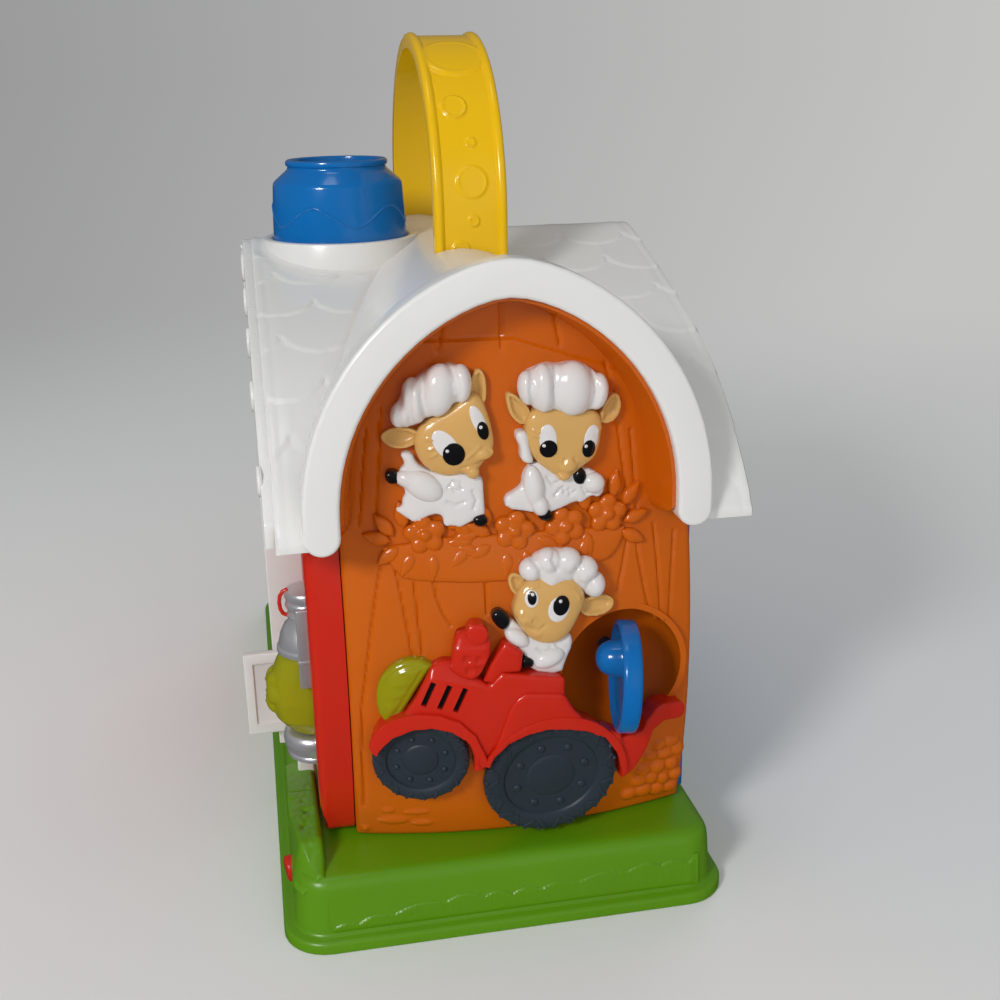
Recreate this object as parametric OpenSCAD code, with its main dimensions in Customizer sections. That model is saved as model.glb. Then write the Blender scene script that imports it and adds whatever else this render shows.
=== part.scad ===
// Musical farm barn: a hollow activity toy with a strap handle, seen from its tractor end.
// Millimetres, +Z up. The origin lies on the table under the middle of the ridge.
// The tractor end faces -Y and the long facade faces -X.

/* [Base] */
// Width of the foot flange, left to right
base_w = 178; // [170:1:200]
// Length of the foot flange, front to back
base_d = 354; // [346:1:400]
// Height of the deck that the house stands on
base_h = 28.5; // [26:0.5:34]
// Thickness of the foot flange
flange_t = 4; // [3:0.5:6]
// Step from the flange edge in to the tray wall
base_inset = 8; // [5:0.5:10]
// Corner radius of the flange
base_corner = 18; // [14:1:24]
// Wall of the tray
tray_t = 2.5; // [2:0.1:3.5]
// Width of the hedge kerb on the facade side
hedge_w = 10.5; // [8:0.5:10.5]
// Height of the front hedge over the deck
hedge_h = 9; // [6:0.5:12]

/* [House] */
// Width of the house over both long walls
house_w = 151; // [150:0.5:160]
// Offset of the house from the middle of the base
house_shift = 6; // [5:0.5:9]
// Length of the house between its end walls
house_d = 268; // [260:1:276]
// Wall of the house and the end panels
house_t = 3; // [2.5:0.1:3.6]
// Width of the red corner strip beside the end panel
strip_w = 11; // [9:0.5:13]

/* [End panel] */
// Width of the bowed end panel
panel_w = 136; // [132:0.5:138]
// How far the panel edge stands in front of the end wall
panel_proud = 7.3; // [6:0.1:9]
// Radius of the panel's round swell
panel_r = 250; // [230:1:280]
// Height of the middle of the swell
panel_mid = 99.5; // [92:0.5:104]
// Height where the swell passes into the upright upper part
panel_join = 157; // [152:0.5:158]

/* [Hood] */
// Clear width of the pointed arch
arch_w = 122; // [116:0.5:124]
// Offset of each arc centre from the arch middle
arch_c = 17; // [12:0.5:22]
// Height where the arcs start
arch_spring = 172; // [168:1:178]
// Offset of the arch from the middle of the base
arch_shift = 2.5; // [1:0.5:4]
// Width of the white band round the arch
hood_band = 13; // [10:0.5:14]
// Depth of the band, front to back
hood_t = 12; // [9:0.5:14]
// Distance of the band's face from the ridge
hood_reach = 172.5; // [168:0.5:178]
// Length of the band's legs below the arcs
hood_leg = 12.5; // [10:0.5:16]
// Thickness of the orange lining inside the arch
lining_t = 2.2; // [1.6:0.1:3]

/* [Roof] */
// Width of the roof between the gables
roof_w = 175.5; // [172:0.5:182]
// Offset of the roof from the middle of the base
roof_shift = 6.8; // [5:0.2:8]
// Length of the roof over both eaves
roof_d = 337; // [330:1:344]
// Height of the ridge
ridge_z = 249.5; // [244:0.5:256]
// Drop from the ridge to the eaves
roof_rise = 88.5; // [84:0.5:92]
// Thickness of the roof shell
roof_t = 3; // [2.5:0.1:4]

/* [Handle] */
// Width of the strap
strap_w = 30; // [24:0.5:34]
// Thickness of the strap
strap_t = 5; // [4:0.5:7]
// Outer span of the strap, front to back
strap_span = 141; // [130:1:150]
// Top of the strap
strap_top = 333.6; // [325:0.5:345]
// Offset of the strap from the middle of the base
strap_shift = 7.3; // [5:0.1:9]
// Height of the edge beads
bead_h = 1.2; // [0.8:0.1:2]

/* [Chimney] */
// Radius of the cup at its foot
cup_r = 29.6; // [26:0.1:31]
// Radius of the rim
rim_r = 21.3; // [18:0.1:24]
// Height of the cup over the collar
cup_h = 33.5; // [28:0.5:38]
// Wall of the cup
cup_t = 2.4; // [2:0.1:3.5]
// Wall of the white collar
collar_t = 4.2; // [3:0.1:6]
// Travel of the cup when it is pressed
cup_travel = 4; // [2:0.5:6]

/* [Tractor] */
// Radius of the front wheel
wheel_f_r = 18.6; // [16:0.1:19]
// Radius of the rear wheel
wheel_r_r = 26.6; // [24:0.1:27]
// Thickness of both wheels
wheel_t = 7; // [5:0.5:8]
// Height of the tractor relief over the panel
tractor_h = 9; // [7:0.5:11]
// Radius of the wheel stubs
stub_r = 3.2; // [2.6:0.1:3.4]

/* [Knob] */
// Radius of the bowl
bowl_r = 24.5; // [23:0.1:26]
// Radius of the disc knob
knob_r = 22.5; // [20:0.1:23]
// Thickness of the disc
knob_t = 7; // [5:0.5:9]

/* [Lantern] */
// Largest radius of the lens
lens_r = 14.5; // [12:0.1:16]
// Height of the lens
lens_h = 34; // [30:0.5:36]
// Travel of the lens when it is pressed
lens_travel = 2.5; // [1.5:0.1:3]

/* [Side door] */
// Width of the door leaf
leaf_w = 26; // [20:0.5:28]
// Height of the door leaf
leaf_h = 39; // [30:0.5:44]
// Thickness of the door leaf
leaf_t = 4; // [3:0.1:5]

/* [Fits] */
// Gap between pieces that move past each other
gap = 0.4; // [0.3:0.05:0.6]
// Radial clearance of a running shaft
run_fit = 0.05; // [0.02:0.01:0.1]

/* [Hidden] */
$fn = 64;
eps = 0.01;
far = 400;

// House faces
left_x = house_shift - house_w / 2;
right_x = house_shift + house_w / 2;
end_y = -house_d / 2;
eave_z = ridge_z - roof_rise;
roof_x0 = roof_shift - roof_w / 2;

// End panel: a ball-shaped skin below and an upright drum above the join
panel_x0 = left_x + strip_w;
panel_x = panel_x0 + panel_w / 2;
axis_y = end_y - panel_proud + sqrt(pow(panel_r, 2) - pow(panel_w / 2, 2) - pow(panel_mid - base_h, 2));
function ring_r(e, z) = sqrt(pow(panel_r + e, 2) - pow(min(z, panel_join) - panel_mid, 2));
function skin_y(x, z) = axis_y - sqrt(pow(ring_r(0, z), 2) - pow(x - panel_x, 2));
function skin_yaw(x, z) = asin((x - panel_x) / ring_r(0, z));
function skin_tilt(z) = z >= panel_join ? 0 : -asin((z - panel_mid) / panel_r);

// Arch tops
arch_r = arch_w / 2 + arch_c;
arch_top = arch_spring + sqrt(arch_r * arch_r - arch_c * arch_c);
hood_foot = arch_spring - hood_leg;
vault_t = 4;

// Places of the end-panel pieces, in the panel's own left-right and height
wheel_f_at = [-32, 70.5];
wheel_r_at = [17.5, 58.5];
wheel_gap = 2.4;
bowl_at = [46.8, 98.5];
knob_out = 5;
knob_lean = 3.5;
light_at = [-38, 101];
light_r = 12.6;
led_r = 2.5;

// Chimney, lantern and door places
cup_at = [-41, -5];
collar_r = cup_r + collar_t + gap;
collar_deep = 30;
cup_skirt = 12;
lantern_y = -116;
lens_z = 66;
door_y = -64;
door_z = 37.5;
pin_r = 1.5;

// Battery bay and cover
cover_z = 2;
cover_t = 2.5;
cell_r = 7.25;
cell_l = 50;
cell_step = 15.5;
bay_w = 3 * cell_step + 4;
bay_d = cell_l + 8;
bay_h = 2 * cell_r + 5;
contact_t = 1;
boss_at = [base_w / 2 - 27, base_d / 2 - 32];
boss_r = 5;
pad_r = 9;
screw_r = 1.5;

// Drawing helpers

// Rounded rectangle about the origin
module round_rect(w, d, r) {
    square([w - 2 * r, d], center = true);
    square([w, d - 2 * r], center = true);
    for (sx = [-1, 1], sy = [-1, 1]) translate([sx * (w / 2 - r), sy * (d / 2 - r)]) circle(r);
}

// Extrudes an outline drawn in left-right and height from y0 back to y1
module along_y(y0, y1) {
    translate([0, y1, 0]) rotate([90, 0, 0]) linear_extrude(y1 - y0) children();
}

// Extrudes an outline drawn in front-back and height from x0 to x1
module along_x(x0, x1) {
    translate([x0, 0, 0]) rotate([90, 0, 90]) linear_extrude(x1 - x0) children();
}

// Right-hand arc of the pointed arch grown by e, from its foot to the tip
function arch_side(e) = let (n = 18, a = acos(arch_c / (arch_r + e)))
    [for (i = [0:n]) [(arch_r + e) * cos(a * i / n) - arch_c, arch_spring + (arch_r + e) * sin(a * i / n)]];

// Left-hand arc, from the tip down
function arch_back(e) = let (q = arch_side(e), n = len(q)) [for (i = [n - 2:-1:0]) [-q[i][0], q[i][1]]];

// Pointed arch, grown by e, with its legs down to foot
module arch_2d(e, foot) {
    half = arch_w / 2 + e;
    translate([arch_shift, 0]) polygon(concat([[-half, foot], [half, foot]], arch_side(e), arch_back(e)));
}

// Ball behind the lower panel skin, grown outward by e
module ball(e) {
    translate([panel_x, axis_y, panel_mid]) sphere(r = panel_r + e, $fn = 240);
}

// Drum behind the upper panel skin, grown outward by e
module drum(e) {
    translate([panel_x, axis_y, panel_join]) cylinder(r = ring_r(e, panel_join), h = ridge_z, $fn = 240);
}

// Relief of an outline that stands h proud of the panel skin, below or above the join, sunk in by sink
module relief(h, upper = false, sink = 0) {
    difference() {
        intersection() {
            along_y(-far / 2, end_y - 2) children();
            if (upper) drum(h); else ball(h);
        }
        if (upper) drum(-sink); else ball(-sink);
    }
}

// Moves to a point of the panel skin with +Z along its outward normal
module on_skin(x, z) {
    translate([x, skin_y(x, z), z]) rotate([90 + skin_tilt(z), 0, skin_yaw(x, z)]) children();
}

// Swelling lower skin of an end with a rim round it
module panel_shell() {
    high = panel_join - base_h;
    difference() {
        intersection() {
            along_y(-far / 2, end_y) translate([panel_x0, base_h]) square([panel_w, high]);
            ball(0);
        }
        intersection() {
            along_y(-far / 2, end_y + 1) translate([panel_x0 + house_t, base_h + house_t])
                square([panel_w - 2 * house_t, high - 2 * house_t]);
            ball(-house_t);
        }
    }
}

// Upright upper skin with the lining of the arch
module loft_shell() {
    edge = -gap / 2;
    difference() {
        along_y(-hood_reach + 1.5, end_y) arch_2d(edge, panel_join);
        difference() {
            along_y(-far / 2, end_y + 1) arch_2d(edge - lining_t, panel_join - 1);
            difference() {
                drum(0);
                drum(-house_t);
            }
        }
        translate([-far / 2, -far, panel_join - 1]) cube([far, far + skin_y(panel_x, panel_join) - 4, hood_foot + 5 - panel_join]);
    }
}

// Roof profile in front-back and height, drawn in by i
function roof_line(i) = let (n = 14, half = roof_d / 2 - i) [for (k = [-n:n]) let (t = abs(k) / n)
    [half * k / n, ridge_z - i - roof_rise * (0.56 * t + 0.44 * pow(t, 5))]];
module roof_2d(i) {
    polygon(roof_line(i));
}

// Height of the roof's inner face at a distance y from the ridge
function under_z(y) = let (t = abs(y) / (roof_d / 2 - roof_t)) ridge_z - roof_t - roof_rise * (0.56 * t + 0.44 * pow(t, 5));

// Room under the roof, down to the table
module under_roof_2d() {
    half = roof_d / 2 - roof_t;
    polygon(concat(roof_line(roof_t), [[half, 0], [-half, 0]]));
}

// Height of the roof's outer face at a distance y from the ridge
function roof_z(y) = let (t = abs(y) / (roof_d / 2)) ridge_z - roof_rise * (0.56 * t + 0.44 * pow(t, 5));

// Inner edge of the arch, from the left foot over the tip to the right foot
function arch_inside() = let (q = concat(arch_side(0), arch_back(0)), n = len(q)) [for (i = [n - 1:-1:0]) q[i]];

// White band round one arch, with round feet
module band_2d() {
    r = hood_band / 2;
    half = arch_w / 2;
    foot = [for (a = [0:15:180]) [half + r - r * cos(a), hood_foot + r - r * sin(a)]];
    translate([arch_shift, 0]) polygon(concat(foot, arch_side(hood_band), arch_back(hood_band),
        [for (i = [len(foot) - 1:-1:0]) [-foot[i][0], foot[i][1]]], arch_inside()));
}

// Section of the vault behind the band
module vault_2d() {
    half = arch_w / 2;
    foot = hood_foot + hood_leg / 2;
    translate([arch_shift, 0]) polygon(concat([[half, foot], [half + vault_t, foot]], arch_side(vault_t),
        arch_back(vault_t), [[-half - vault_t, foot], [-half, foot]], arch_inside()));
}

// Sub-parts

module base_tray() {
    in_w = base_w - 2 * base_inset;
    in_d = base_d - 2 * base_inset;
    in_r = base_corner - base_inset / 2;
    color("yellowgreen") {
        difference() {
            union() {
                linear_extrude(flange_t) round_rect(base_w, base_d, base_corner);
                linear_extrude(base_h) round_rect(in_w, in_d, in_r);
                translate([-in_w / 2, 0, base_h - 1]) hedge();
            }
            translate([0, 0, -1]) linear_extrude(base_h - tray_t + 1)
                round_rect(in_w - 2 * tray_t, in_d - 2 * tray_t, in_r - tray_t);
        }
        for (sx = [-1, 1], sy = [-1, 1]) translate([sx * boss_at[0], sy * boss_at[1], cover_z + cover_t]) difference() {
            cylinder(r = boss_r, h = base_h - tray_t - cover_z - cover_t + eps);
            translate([0, 0, -1]) cylinder(r = screw_r, h = 14);
        }
        for (sx = [-1, 1], sy = [-1, 1]) translate([house_shift + sx * 30, 40 + sy * 22, base_h - eps])
            cylinder(r = 3, h = 6);
    }
}

// Two clipped hedges along the facade edge
module hedge() {
    front = -base_d / 2 + base_inset + 8;
    for (h = [[front, 44, hedge_h], [front + 45, 26, hedge_h - 2]]) translate([0, h[0], 0]) {
        cube([hedge_w, h[1], h[2] - 2]);
        translate([hedge_w / 2, 0, h[2] - 3]) rotate([-90, 0, 0]) intersection() {
            cylinder(r = hedge_w / 2, h = h[1]);
            translate([-hedge_w / 2, -4, 0]) cube([hedge_w, 6, h[1]]);
        }
    }
}

module red_dot() {
    color("red") translate([-base_w / 2 + base_inset, -base_d / 2 + base_inset + 19, base_h / 2]) rotate([0, -90, 0]) cylinder(r = 4.5, h = 1.2);
}

module base_cover() {
    in_w = base_w - 2 * base_inset - 2 * tray_t - 2 * gap;
    in_d = base_d - 2 * base_inset - 2 * tray_t - 2 * gap;
    in_r = base_corner - base_inset / 2 - tray_t - gap;
    color("darkolivegreen") difference() {
        translate([0, 0, cover_z]) {
            linear_extrude(cover_t) round_rect(in_w, in_d, in_r);
            linear_extrude(bay_h) square([bay_w + 4, bay_d + 4], center = true);
            translate([0, bay_d / 2 + 8, 0]) cylinder(r = boss_r, h = 12);
        }
        translate([0, 0, cover_z - 1]) linear_extrude(bay_h - 1) square([bay_w, bay_d], center = true);
        translate([0, bay_d / 2 + 8, cover_z - 1]) cylinder(r = screw_r, h = 11);
        translate([0, 0, cover_z - 1]) linear_extrude(3) battery_door_2d(gap);
        for (sx = [-1, 1], sy = [-1, 1]) translate([sx * boss_at[0], sy * boss_at[1], cover_z - 1])
            cylinder(r = screw_r + 0.3, h = cover_t + 2);
    }
}

// Outline of the battery door with its screw tab, grown by e
module battery_door_2d(e) {
    square([bay_w + 2 * e, bay_d + 2 * e], center = true);
    translate([0, bay_d / 2 + 6]) square([16 + 2 * e, 14 + 2 * e], center = true);
}

module battery_door() {
    color("darkolivegreen") difference() {
        union() {
            translate([0, 0, cover_z]) linear_extrude(2) battery_door_2d(0);
            cylinder(r = pad_r, h = cover_z + 1);
        }
        translate([0, bay_d / 2 + 8, cover_z - 1]) cylinder(r = screw_r + 0.2, h = 4);
    }
}

// Pan-head screw with its head under the plane z
module screw(z, length) {
    translate([0, 0, z - 1.4]) cylinder(r = 3, h = 1.4);
    translate([0, 0, z - eps]) cylinder(r = screw_r - 0.05, h = length);
}

module door_screw() {
    color("silver") translate([0, bay_d / 2 + 8, 0]) screw(cover_z, 9);
}

module case_screw(sx, sy) {
    color("silver") translate([sx * boss_at[0], sy * boss_at[1], 0]) screw(cover_z, 13);
}

module screw_fl() { case_screw(-1, -1); }
module screw_fr() { case_screw(1, -1); }
module screw_bl() { case_screw(-1, 1); }
module screw_br() { case_screw(1, 1); }

// One cell lying front to back on the battery door
module cell(i) {
    color("dimgray") translate([i * cell_step, -cell_l / 2, cover_z + 2 + cell_r + 0.05]) rotate([-90, 0, 0]) {
        cylinder(r = cell_r, h = cell_l - 1.5);
        cylinder(r = 2.7, h = cell_l);
    }
}

module battery_left() { cell(-1); }
module battery_mid() { cell(0); }
module battery_right() { cell(1); }

// Sprung metal strip across the ends of the cells
module contact(s) {
    color("silver") translate([0, s * (bay_d / 2 - contact_t / 2), cover_z + 3 + cell_r]) {
        cube([bay_w - 2, contact_t, 10], center = true);
        for (i = [-1:1]) translate([i * cell_step, -s * (contact_t / 2 - eps), 0]) rotate([s * 90, 0, 0])
            cylinder(r1 = 4, r2 = 2, h = (bay_d - cell_l) / 2 - contact_t - 0.1);
    }
}

module contact_front() { contact(-1); }
module contact_rear() { contact(1); }

// Long wall at x0..x1 up to the roof shell, with a return of width w at each end
module long_wall(x0, ret_x0, ret_w) {
    intersection() {
        union() {
            along_x(x0, x0 + house_t) translate([end_y, base_h]) square([house_d, ridge_z]);
            for (s = [-1, 1]) translate([ret_x0, s * (house_d / 2 - house_t / 2) - house_t / 2, base_h])
                cube([ret_w, house_t, eave_z - base_h]);
        }
        along_x(-far, far) under_roof_2d();
    }
}

module left_wall() {
    rib = 0.7;
    color("red") {
        difference() {
            long_wall(left_x, left_x, strip_w - gap);
            along_x(left_x - 1, left_x + house_t + 1) translate([lantern_y - lens_r - gap, lens_z - gap])
                square([2 * lens_r + 2 * gap, lens_h + 2 * gap]);
            translate([cup_at[0], cup_at[1], ridge_z - collar_deep - gap / 4])
                cylinder(r = collar_r + gap / 4, h = 2 * collar_deep);
        }
        for (i = [0:5]) along_x(left_x - rib, left_x + eps)
            translate([lantern_y + lens_r + 4 + i * 5, base_h + 2]) square([2.2, eave_z - base_h - 4]);
        for (z = [lens_z - 12, lens_z + lens_h + 12]) translate([left_x + house_t - eps, lantern_y, z])
            rotate([0, 90, 0]) cylinder(r = 3, h = 12);
        for (z = [door_z - 4.5, door_z + leaf_h + gap]) translate([left_x - 4, door_y - 2.5, z]) difference() {
            cube([4 + eps, 5, 4]);
            translate([1, 2.5, -1]) cylinder(r = pin_r, h = 6);
        }
    }
}

module right_wall() {
    ret_x = panel_x0 + panel_w + gap;
    color("dodgerblue") difference() {
        long_wall(right_x - house_t, ret_x, right_x - ret_x);
        for (a = [0:60:300], k = [0, 1]) translate([right_x - house_t - 1, 0, 110]) rotate([a + 30 * k, 0, 0])
            translate([0, 8 + 8 * k, 0]) rotate([0, 90, 0]) cylinder(r = 2, h = house_t + 2);
        along_x(right_x - house_t - 1, right_x + 1) translate([52, 57.5]) square([16, 5]);
    }
}

// Five-petal flower outline
module flower_2d(r) {
    circle(r * 0.5);
    for (a = [90:72:378]) rotate(a) translate([r * 0.62, 0]) circle(r * 0.42);
}

// Outline of the window box below the join
module planter_2d() {
    low = panel_join - 17;
    polygon([[-42, panel_join - 0.5], [-42, low + 9], [-39, low + 3], [-33, low], [36, low], [44, low + 3],
        [48, low + 9], [48, panel_join - 0.5]]);
}

// Outlines of the leaves and of the flowers that stand in the window box
module leaves_2d() {
    leaf = 6.5;
    for (i = [0:8]) translate([-39 + i * 11, panel_join + leaf + 0.5]) circle(leaf);
}
module flowers_2d() {
    for (p = [[-27, 9], [6, 9], [25, 9], [42, 9.5]]) translate([p[0], panel_join + p[1]]) flower_2d(8);
}

module front_panel() {
    stub_hole = stub_r + run_fit;
    sy = skin_y(bowl_at[0], bowl_at[1]);
    color("darkorange") difference() {
        union() {
            panel_shell();
            relief(2, sink = 1) planter_2d();
            intersection() {
                translate([bowl_at[0], sy, bowl_at[1]]) sphere(r = bowl_r + house_t, $fn = 96);
                ball(-0.5);
            }
        }
        translate([bowl_at[0], sy, bowl_at[1]]) sphere(r = bowl_r, $fn = 96);
        translate([bowl_at[0], sy, bowl_at[1]]) rotate([-90, 0, 0]) cylinder(r = stub_hole, h = bowl_r + 10);
        for (p = [wheel_f_at, wheel_r_at]) on_skin(p[0], p[1]) translate([0, 0, -12]) cylinder(r = stub_hole, h = 20);
        on_skin(light_at[0], light_at[1]) translate([0, 0, -12]) cylinder(r = led_r + 0.2, h = 20);
    }
}

module front_loft() {
    color("darkorange") {
        loft_shell();
        relief(3.5, true, 1) leaves_2d();
        relief(5, true, 1) flowers_2d();
    }
}

module back_panel() {
    color("darkorange") mirror([0, 1, 0]) panel_shell();
}

module back_loft() {
    color("darkorange") mirror([0, 1, 0]) loft_shell();
}

// Roof slopes on one side of the vault
module roof_half(x0, x1) {
    difference() {
        along_x(x0, x1) roof_2d(0);
        along_x(x0 - 1, x1 + 1) under_roof_2d();
        along_y(-far, far) arch_2d(vault_t + gap / 4, hood_foot - 20);
        for (s = [0, 1]) mirror([0, s, 0]) along_y(-far, -hood_reach + hood_t + gap / 4)
            arch_2d(hood_band + gap / 4, hood_foot - 20);
    }
}

module roof_left() {
    low = ridge_z - collar_deep;
    color("white") difference() {
        union() {
            roof_half(roof_x0, arch_shift);
            translate([cup_at[0], cup_at[1], low]) cylinder(r = collar_r, h = collar_deep);
        }
        translate([cup_at[0], cup_at[1], low + 3]) cylinder(r = cup_r + gap, h = collar_deep);
        translate([cup_at[0], cup_at[1], low - 1]) cylinder(r = 5, h = 5);
    }
}

module roof_right() {
    color("white") roof_half(arch_shift, roof_x0 + roof_w);
}

// Pointed vault that runs through the roof from band to band
module vault() {
    slot = 0.2;
    reach = hood_reach - hood_t;
    color("white") difference() {
        along_y(-reach, reach) vault_2d();
        translate([cup_at[0], cup_at[1], ridge_z - collar_deep - 1]) cylinder(r = collar_r + gap / 4, h = 2 * collar_deep);
        for (s = [-1, 1]) translate([strap_shift, s * (strap_span - strap_t + bead_h) / 2, ridge_z])
            cube([strap_w + 2 * slot, strap_t + bead_h + 2 * slot, 40], center = true);
    }
}

module hood_front() {
    color("white") along_y(-hood_reach, -hood_reach + hood_t) band_2d();
}

module hood_back() {
    color("white") along_y(hood_reach - hood_t, hood_reach) band_2d();
}

// Scalloped board under the verge of the facade gable
module gable_trim() {
    n = 60;
    half = roof_d / 2 - roof_t - 6;
    waves = 5;
    top = [for (k = [-n:n]) [half * k / n, under_z(half * k / n) - 0.45]];
    low = [for (k = [n:-1:-n]) [half * k / n, under_z(half * k / n) - 8 - 6 * abs(sin(180 * waves * k / n))]];
    color("white") along_x(roof_x0 + 1.5, roof_x0 + 4.5) polygon(concat(top, low));
}

module handle() {
    r = strap_span / 2;
    leg = strap_top - r - arch_top + 12;
    color("gold") translate([strap_shift, 0, strap_top - r]) {
        rotate([0, -90, 0]) rotate([0, 0, -90]) rotate_extrude(angle = 180, $fn = 128) strap_2d(r);
        for (s = [0, 1]) mirror([0, s, 0]) translate([0, 0, -leg]) linear_extrude(leg) strap_2d_up(r);
        for (a = [28, 46, 64]) rotate([-a, 0, 0]) translate([0, -r + 0.2, 0]) rotate([90, 0, 0]) cylinder(r = 5.5, h = 1);
        rotate([-84, 0, 0]) translate([0, -r + 0.2, 0]) rotate([90, 0, 0]) cylinder(r = 9, h = 1);
    }
}

// Section of the strap at radius r, with a bead along each edge
module strap_2d(r) {
    translate([r - strap_t, -strap_w / 2]) square([strap_t, strap_w]);
    for (s = [-1, 1]) translate([r - strap_t, s * (strap_w / 2 - 1.6) - 1.6]) square([strap_t + bead_h, 3.2]);
}

// The same section laid flat for the straight legs on the front side
module strap_2d_up(r) {
    translate([-strap_w / 2, -r]) square([strap_w, strap_t]);
    for (s = [-1, 1]) translate([s * (strap_w / 2 - 1.6) - 1.6, -r - bead_h]) square([3.2, strap_t + bead_h]);
}

module chimney_cup() {
    foot = -cup_skirt;
    shoulder = cup_h - 9;
    color("dodgerblue") translate([cup_at[0], cup_at[1], ridge_z]) rotate_extrude(angle = 360, $fn = 96) polygon([
        [6.5, foot], [cup_r, foot], [cup_r, 0], [cup_r - 1.4, shoulder], [rim_r, cup_h - 3.6],
        [rim_r, cup_h - 3], [rim_r + 1, cup_h - 2.4], [rim_r + 1, cup_h - 0.6], [rim_r, cup_h],
        [rim_r - cup_t, cup_h], [rim_r - cup_t, cup_h - 5], [cup_r - 1.4 - cup_t, shoulder - 1],
        [cup_r - 1.4 - cup_t, 6], [6.5, 6]]);
}

// Sleeve of the return spring under the cup
module chimney_spring() {
    low = ridge_z - collar_deep + 3;
    color("silver") translate([cup_at[0], cup_at[1], low]) difference() {
        cylinder(r = 12, h = collar_deep - 3 - cup_skirt - 0.2);
        translate([0, 0, -1]) cylinder(r = 10.5, h = collar_deep);
    }
}

// Fender round a wheel between two angles, trimmed by the wheel well
module fender_2d(at, r, a0, a1) {
    n = 12;
    step = (a1 - a0) / n;
    translate(at) polygon(concat(
        [for (i = [0:n]) (r + 6) * [cos(a0 + i * step), sin(a0 + i * step)]],
        [for (i = [n:-1:0]) (r - 3) * [cos(a0 + i * step), sin(a0 + i * step)]]));
}

module tractor_body() {
    color("red") difference() {
        union() {
            relief(tractor_h) difference() {
                polygon([
                    [-48, 84], [-40, 85], [-35, 96], [-26.5, 113], [-19.5, 114], [-19, 122], [-16, 124],
                    [-14, 128], [-8, 128], [-6, 123], [-4, 121], [-4.5, 113], [3, 122], [8, 118], [9, 108],
                    [22, 106], [46, 92], [60, 83], [66, 85.5], [71.5, 84.5], [72, 80], [64, 78], [56, 72],
                    [46, 55], [10, 55], [-8, 72], [-20, 80]]);
                for (i = [0:2]) translate([-29.5 + 5.8 * i, 100 - 1.4 * i]) rotate(-22) square([2.2, 11], center = true);
            }
            relief(tractor_h + 2) fender_2d(wheel_f_at, wheel_f_r, -5, 175);
            relief(tractor_h + 2) fender_2d(wheel_r_at, wheel_r_r, 22, 168);
        }
        for (w = [[wheel_f_at, wheel_f_r], [wheel_r_at, wheel_r_r]])
            on_skin(w[0][0], w[0][1]) translate([0, 0, -4]) cylinder(r = w[1] + 1, h = 30);
        translate([bowl_at[0], skin_y(bowl_at[0], bowl_at[1]), bowl_at[1]]) rotate([90, 0, 0])
            translate([0, 0, -30]) cylinder(r = bowl_r + 0.8, h = 70);
    }
}

// Treaded wheel with a stepped hub and a stub through the panel
module wheel(at, r) {
    color("darkslategray") on_skin(at[0], at[1]) {
        translate([0, 0, wheel_gap]) {
            rotate_extrude($fn = 96) polygon([
                [0, 0], [r - 1, 0], [r, 1], [r, wheel_t - 1.5], [r - 1.5, wheel_t], [r * 0.72, wheel_t],
                [r * 0.68, wheel_t - 1.2], [r * 0.36, wheel_t - 1.2], [r * 0.32, wheel_t - 0.4], [0, wheel_t - 0.4]]);
            for (a = [0:45:315]) rotate(a) translate([r * 0.52, 0, wheel_t - 1.3]) cylinder(r = r * 0.06, h = 0.9);
        }
        translate([0, 0, -9]) cylinder(r = stub_r, h = 9 + wheel_gap + eps);
    }
}

module wheel_front() { wheel(wheel_f_at, wheel_f_r); }
module wheel_rear() { wheel(wheel_r_at, wheel_r_r); }

// Snap ring on a stub behind the panel
module stub_clip(at) {
    color("gray") on_skin(at[0], at[1]) translate([0, 0, -house_t - 2.6]) difference() {
        cylinder(r = stub_r + 3, h = 1.8);
        translate([0, 0, -1]) cylinder(r = stub_r, h = 4);
    }
}

module clip_front() { stub_clip(wheel_f_at); }
module clip_rear() { stub_clip(wheel_r_at); }

module headlight_lens() {
    color("olive") difference() {
        on_skin(light_at[0], light_at[1]) translate([0, 0, 7 - 16]) intersection() {
            sphere(r = 16);
            cylinder(r = light_r, h = 40);
        }
        ball(0);
        along_y(-far / 2, end_y) translate(wheel_f_at) circle(wheel_f_r + 6.3);
        along_y(-far / 2, end_y) polygon([[-52, 80], [-40.6, 84.6], [-35.4, 96.3], [-26.8, 113.5], [-10, 113.5], [-10, 80]]);
    }
}

// Domed relief of an outline about the point at, h proud in its middle
module dome(at, h, r, upper = false) {
    difference() {
        intersection() {
            along_y(-far / 2, end_y - 2) children();
            translate([at[0], skin_y(at[0], at[1]) - h + r, at[1]]) sphere(r = r, $fn = 96);
        }
        if (upper) drum(0); else ball(0);
    }
}

// Curly fleece as an outline of round tufts, each [x, z, r]
module tufts_2d(list) {
    for (p = list) translate([p[0], p[1]]) circle(p[2]);
}

// Leaves a lamb only where no leaf or flower stands in front of it
module behind_blossom() {
    difference() {
        union() children();
        along_y(-far / 2, end_y) leaves_2d();
        along_y(-far / 2, end_y) flowers_2d();
    }
}

module lamb_left() {
    color("white") behind_blossom() {
        dome([-22, 210], 9, 26, true) tufts_2d([[-32, 204, 6], [-31, 212, 6], [-23, 217, 6.5], [-14, 214, 6], [-22, 208, 9]]);
        dome([-15, 193], 10, 30, true) tufts_2d([[-17, 196, 12], [-11, 188, 11]]);
        relief(5, true) tufts_2d([[-35, 195, 6.5], [-7, 213, 5]]);
        relief(6, true) polygon([[-37, 180], [-27, 186], [-10, 180], [-6, 174], [-5, 164], [-18, 159], [-34, 170]]);
        relief(6.5, true) tufts_2d([[-38, 181, 3.6], [-6.5, 162.5, 4]]);
    }
}

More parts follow.
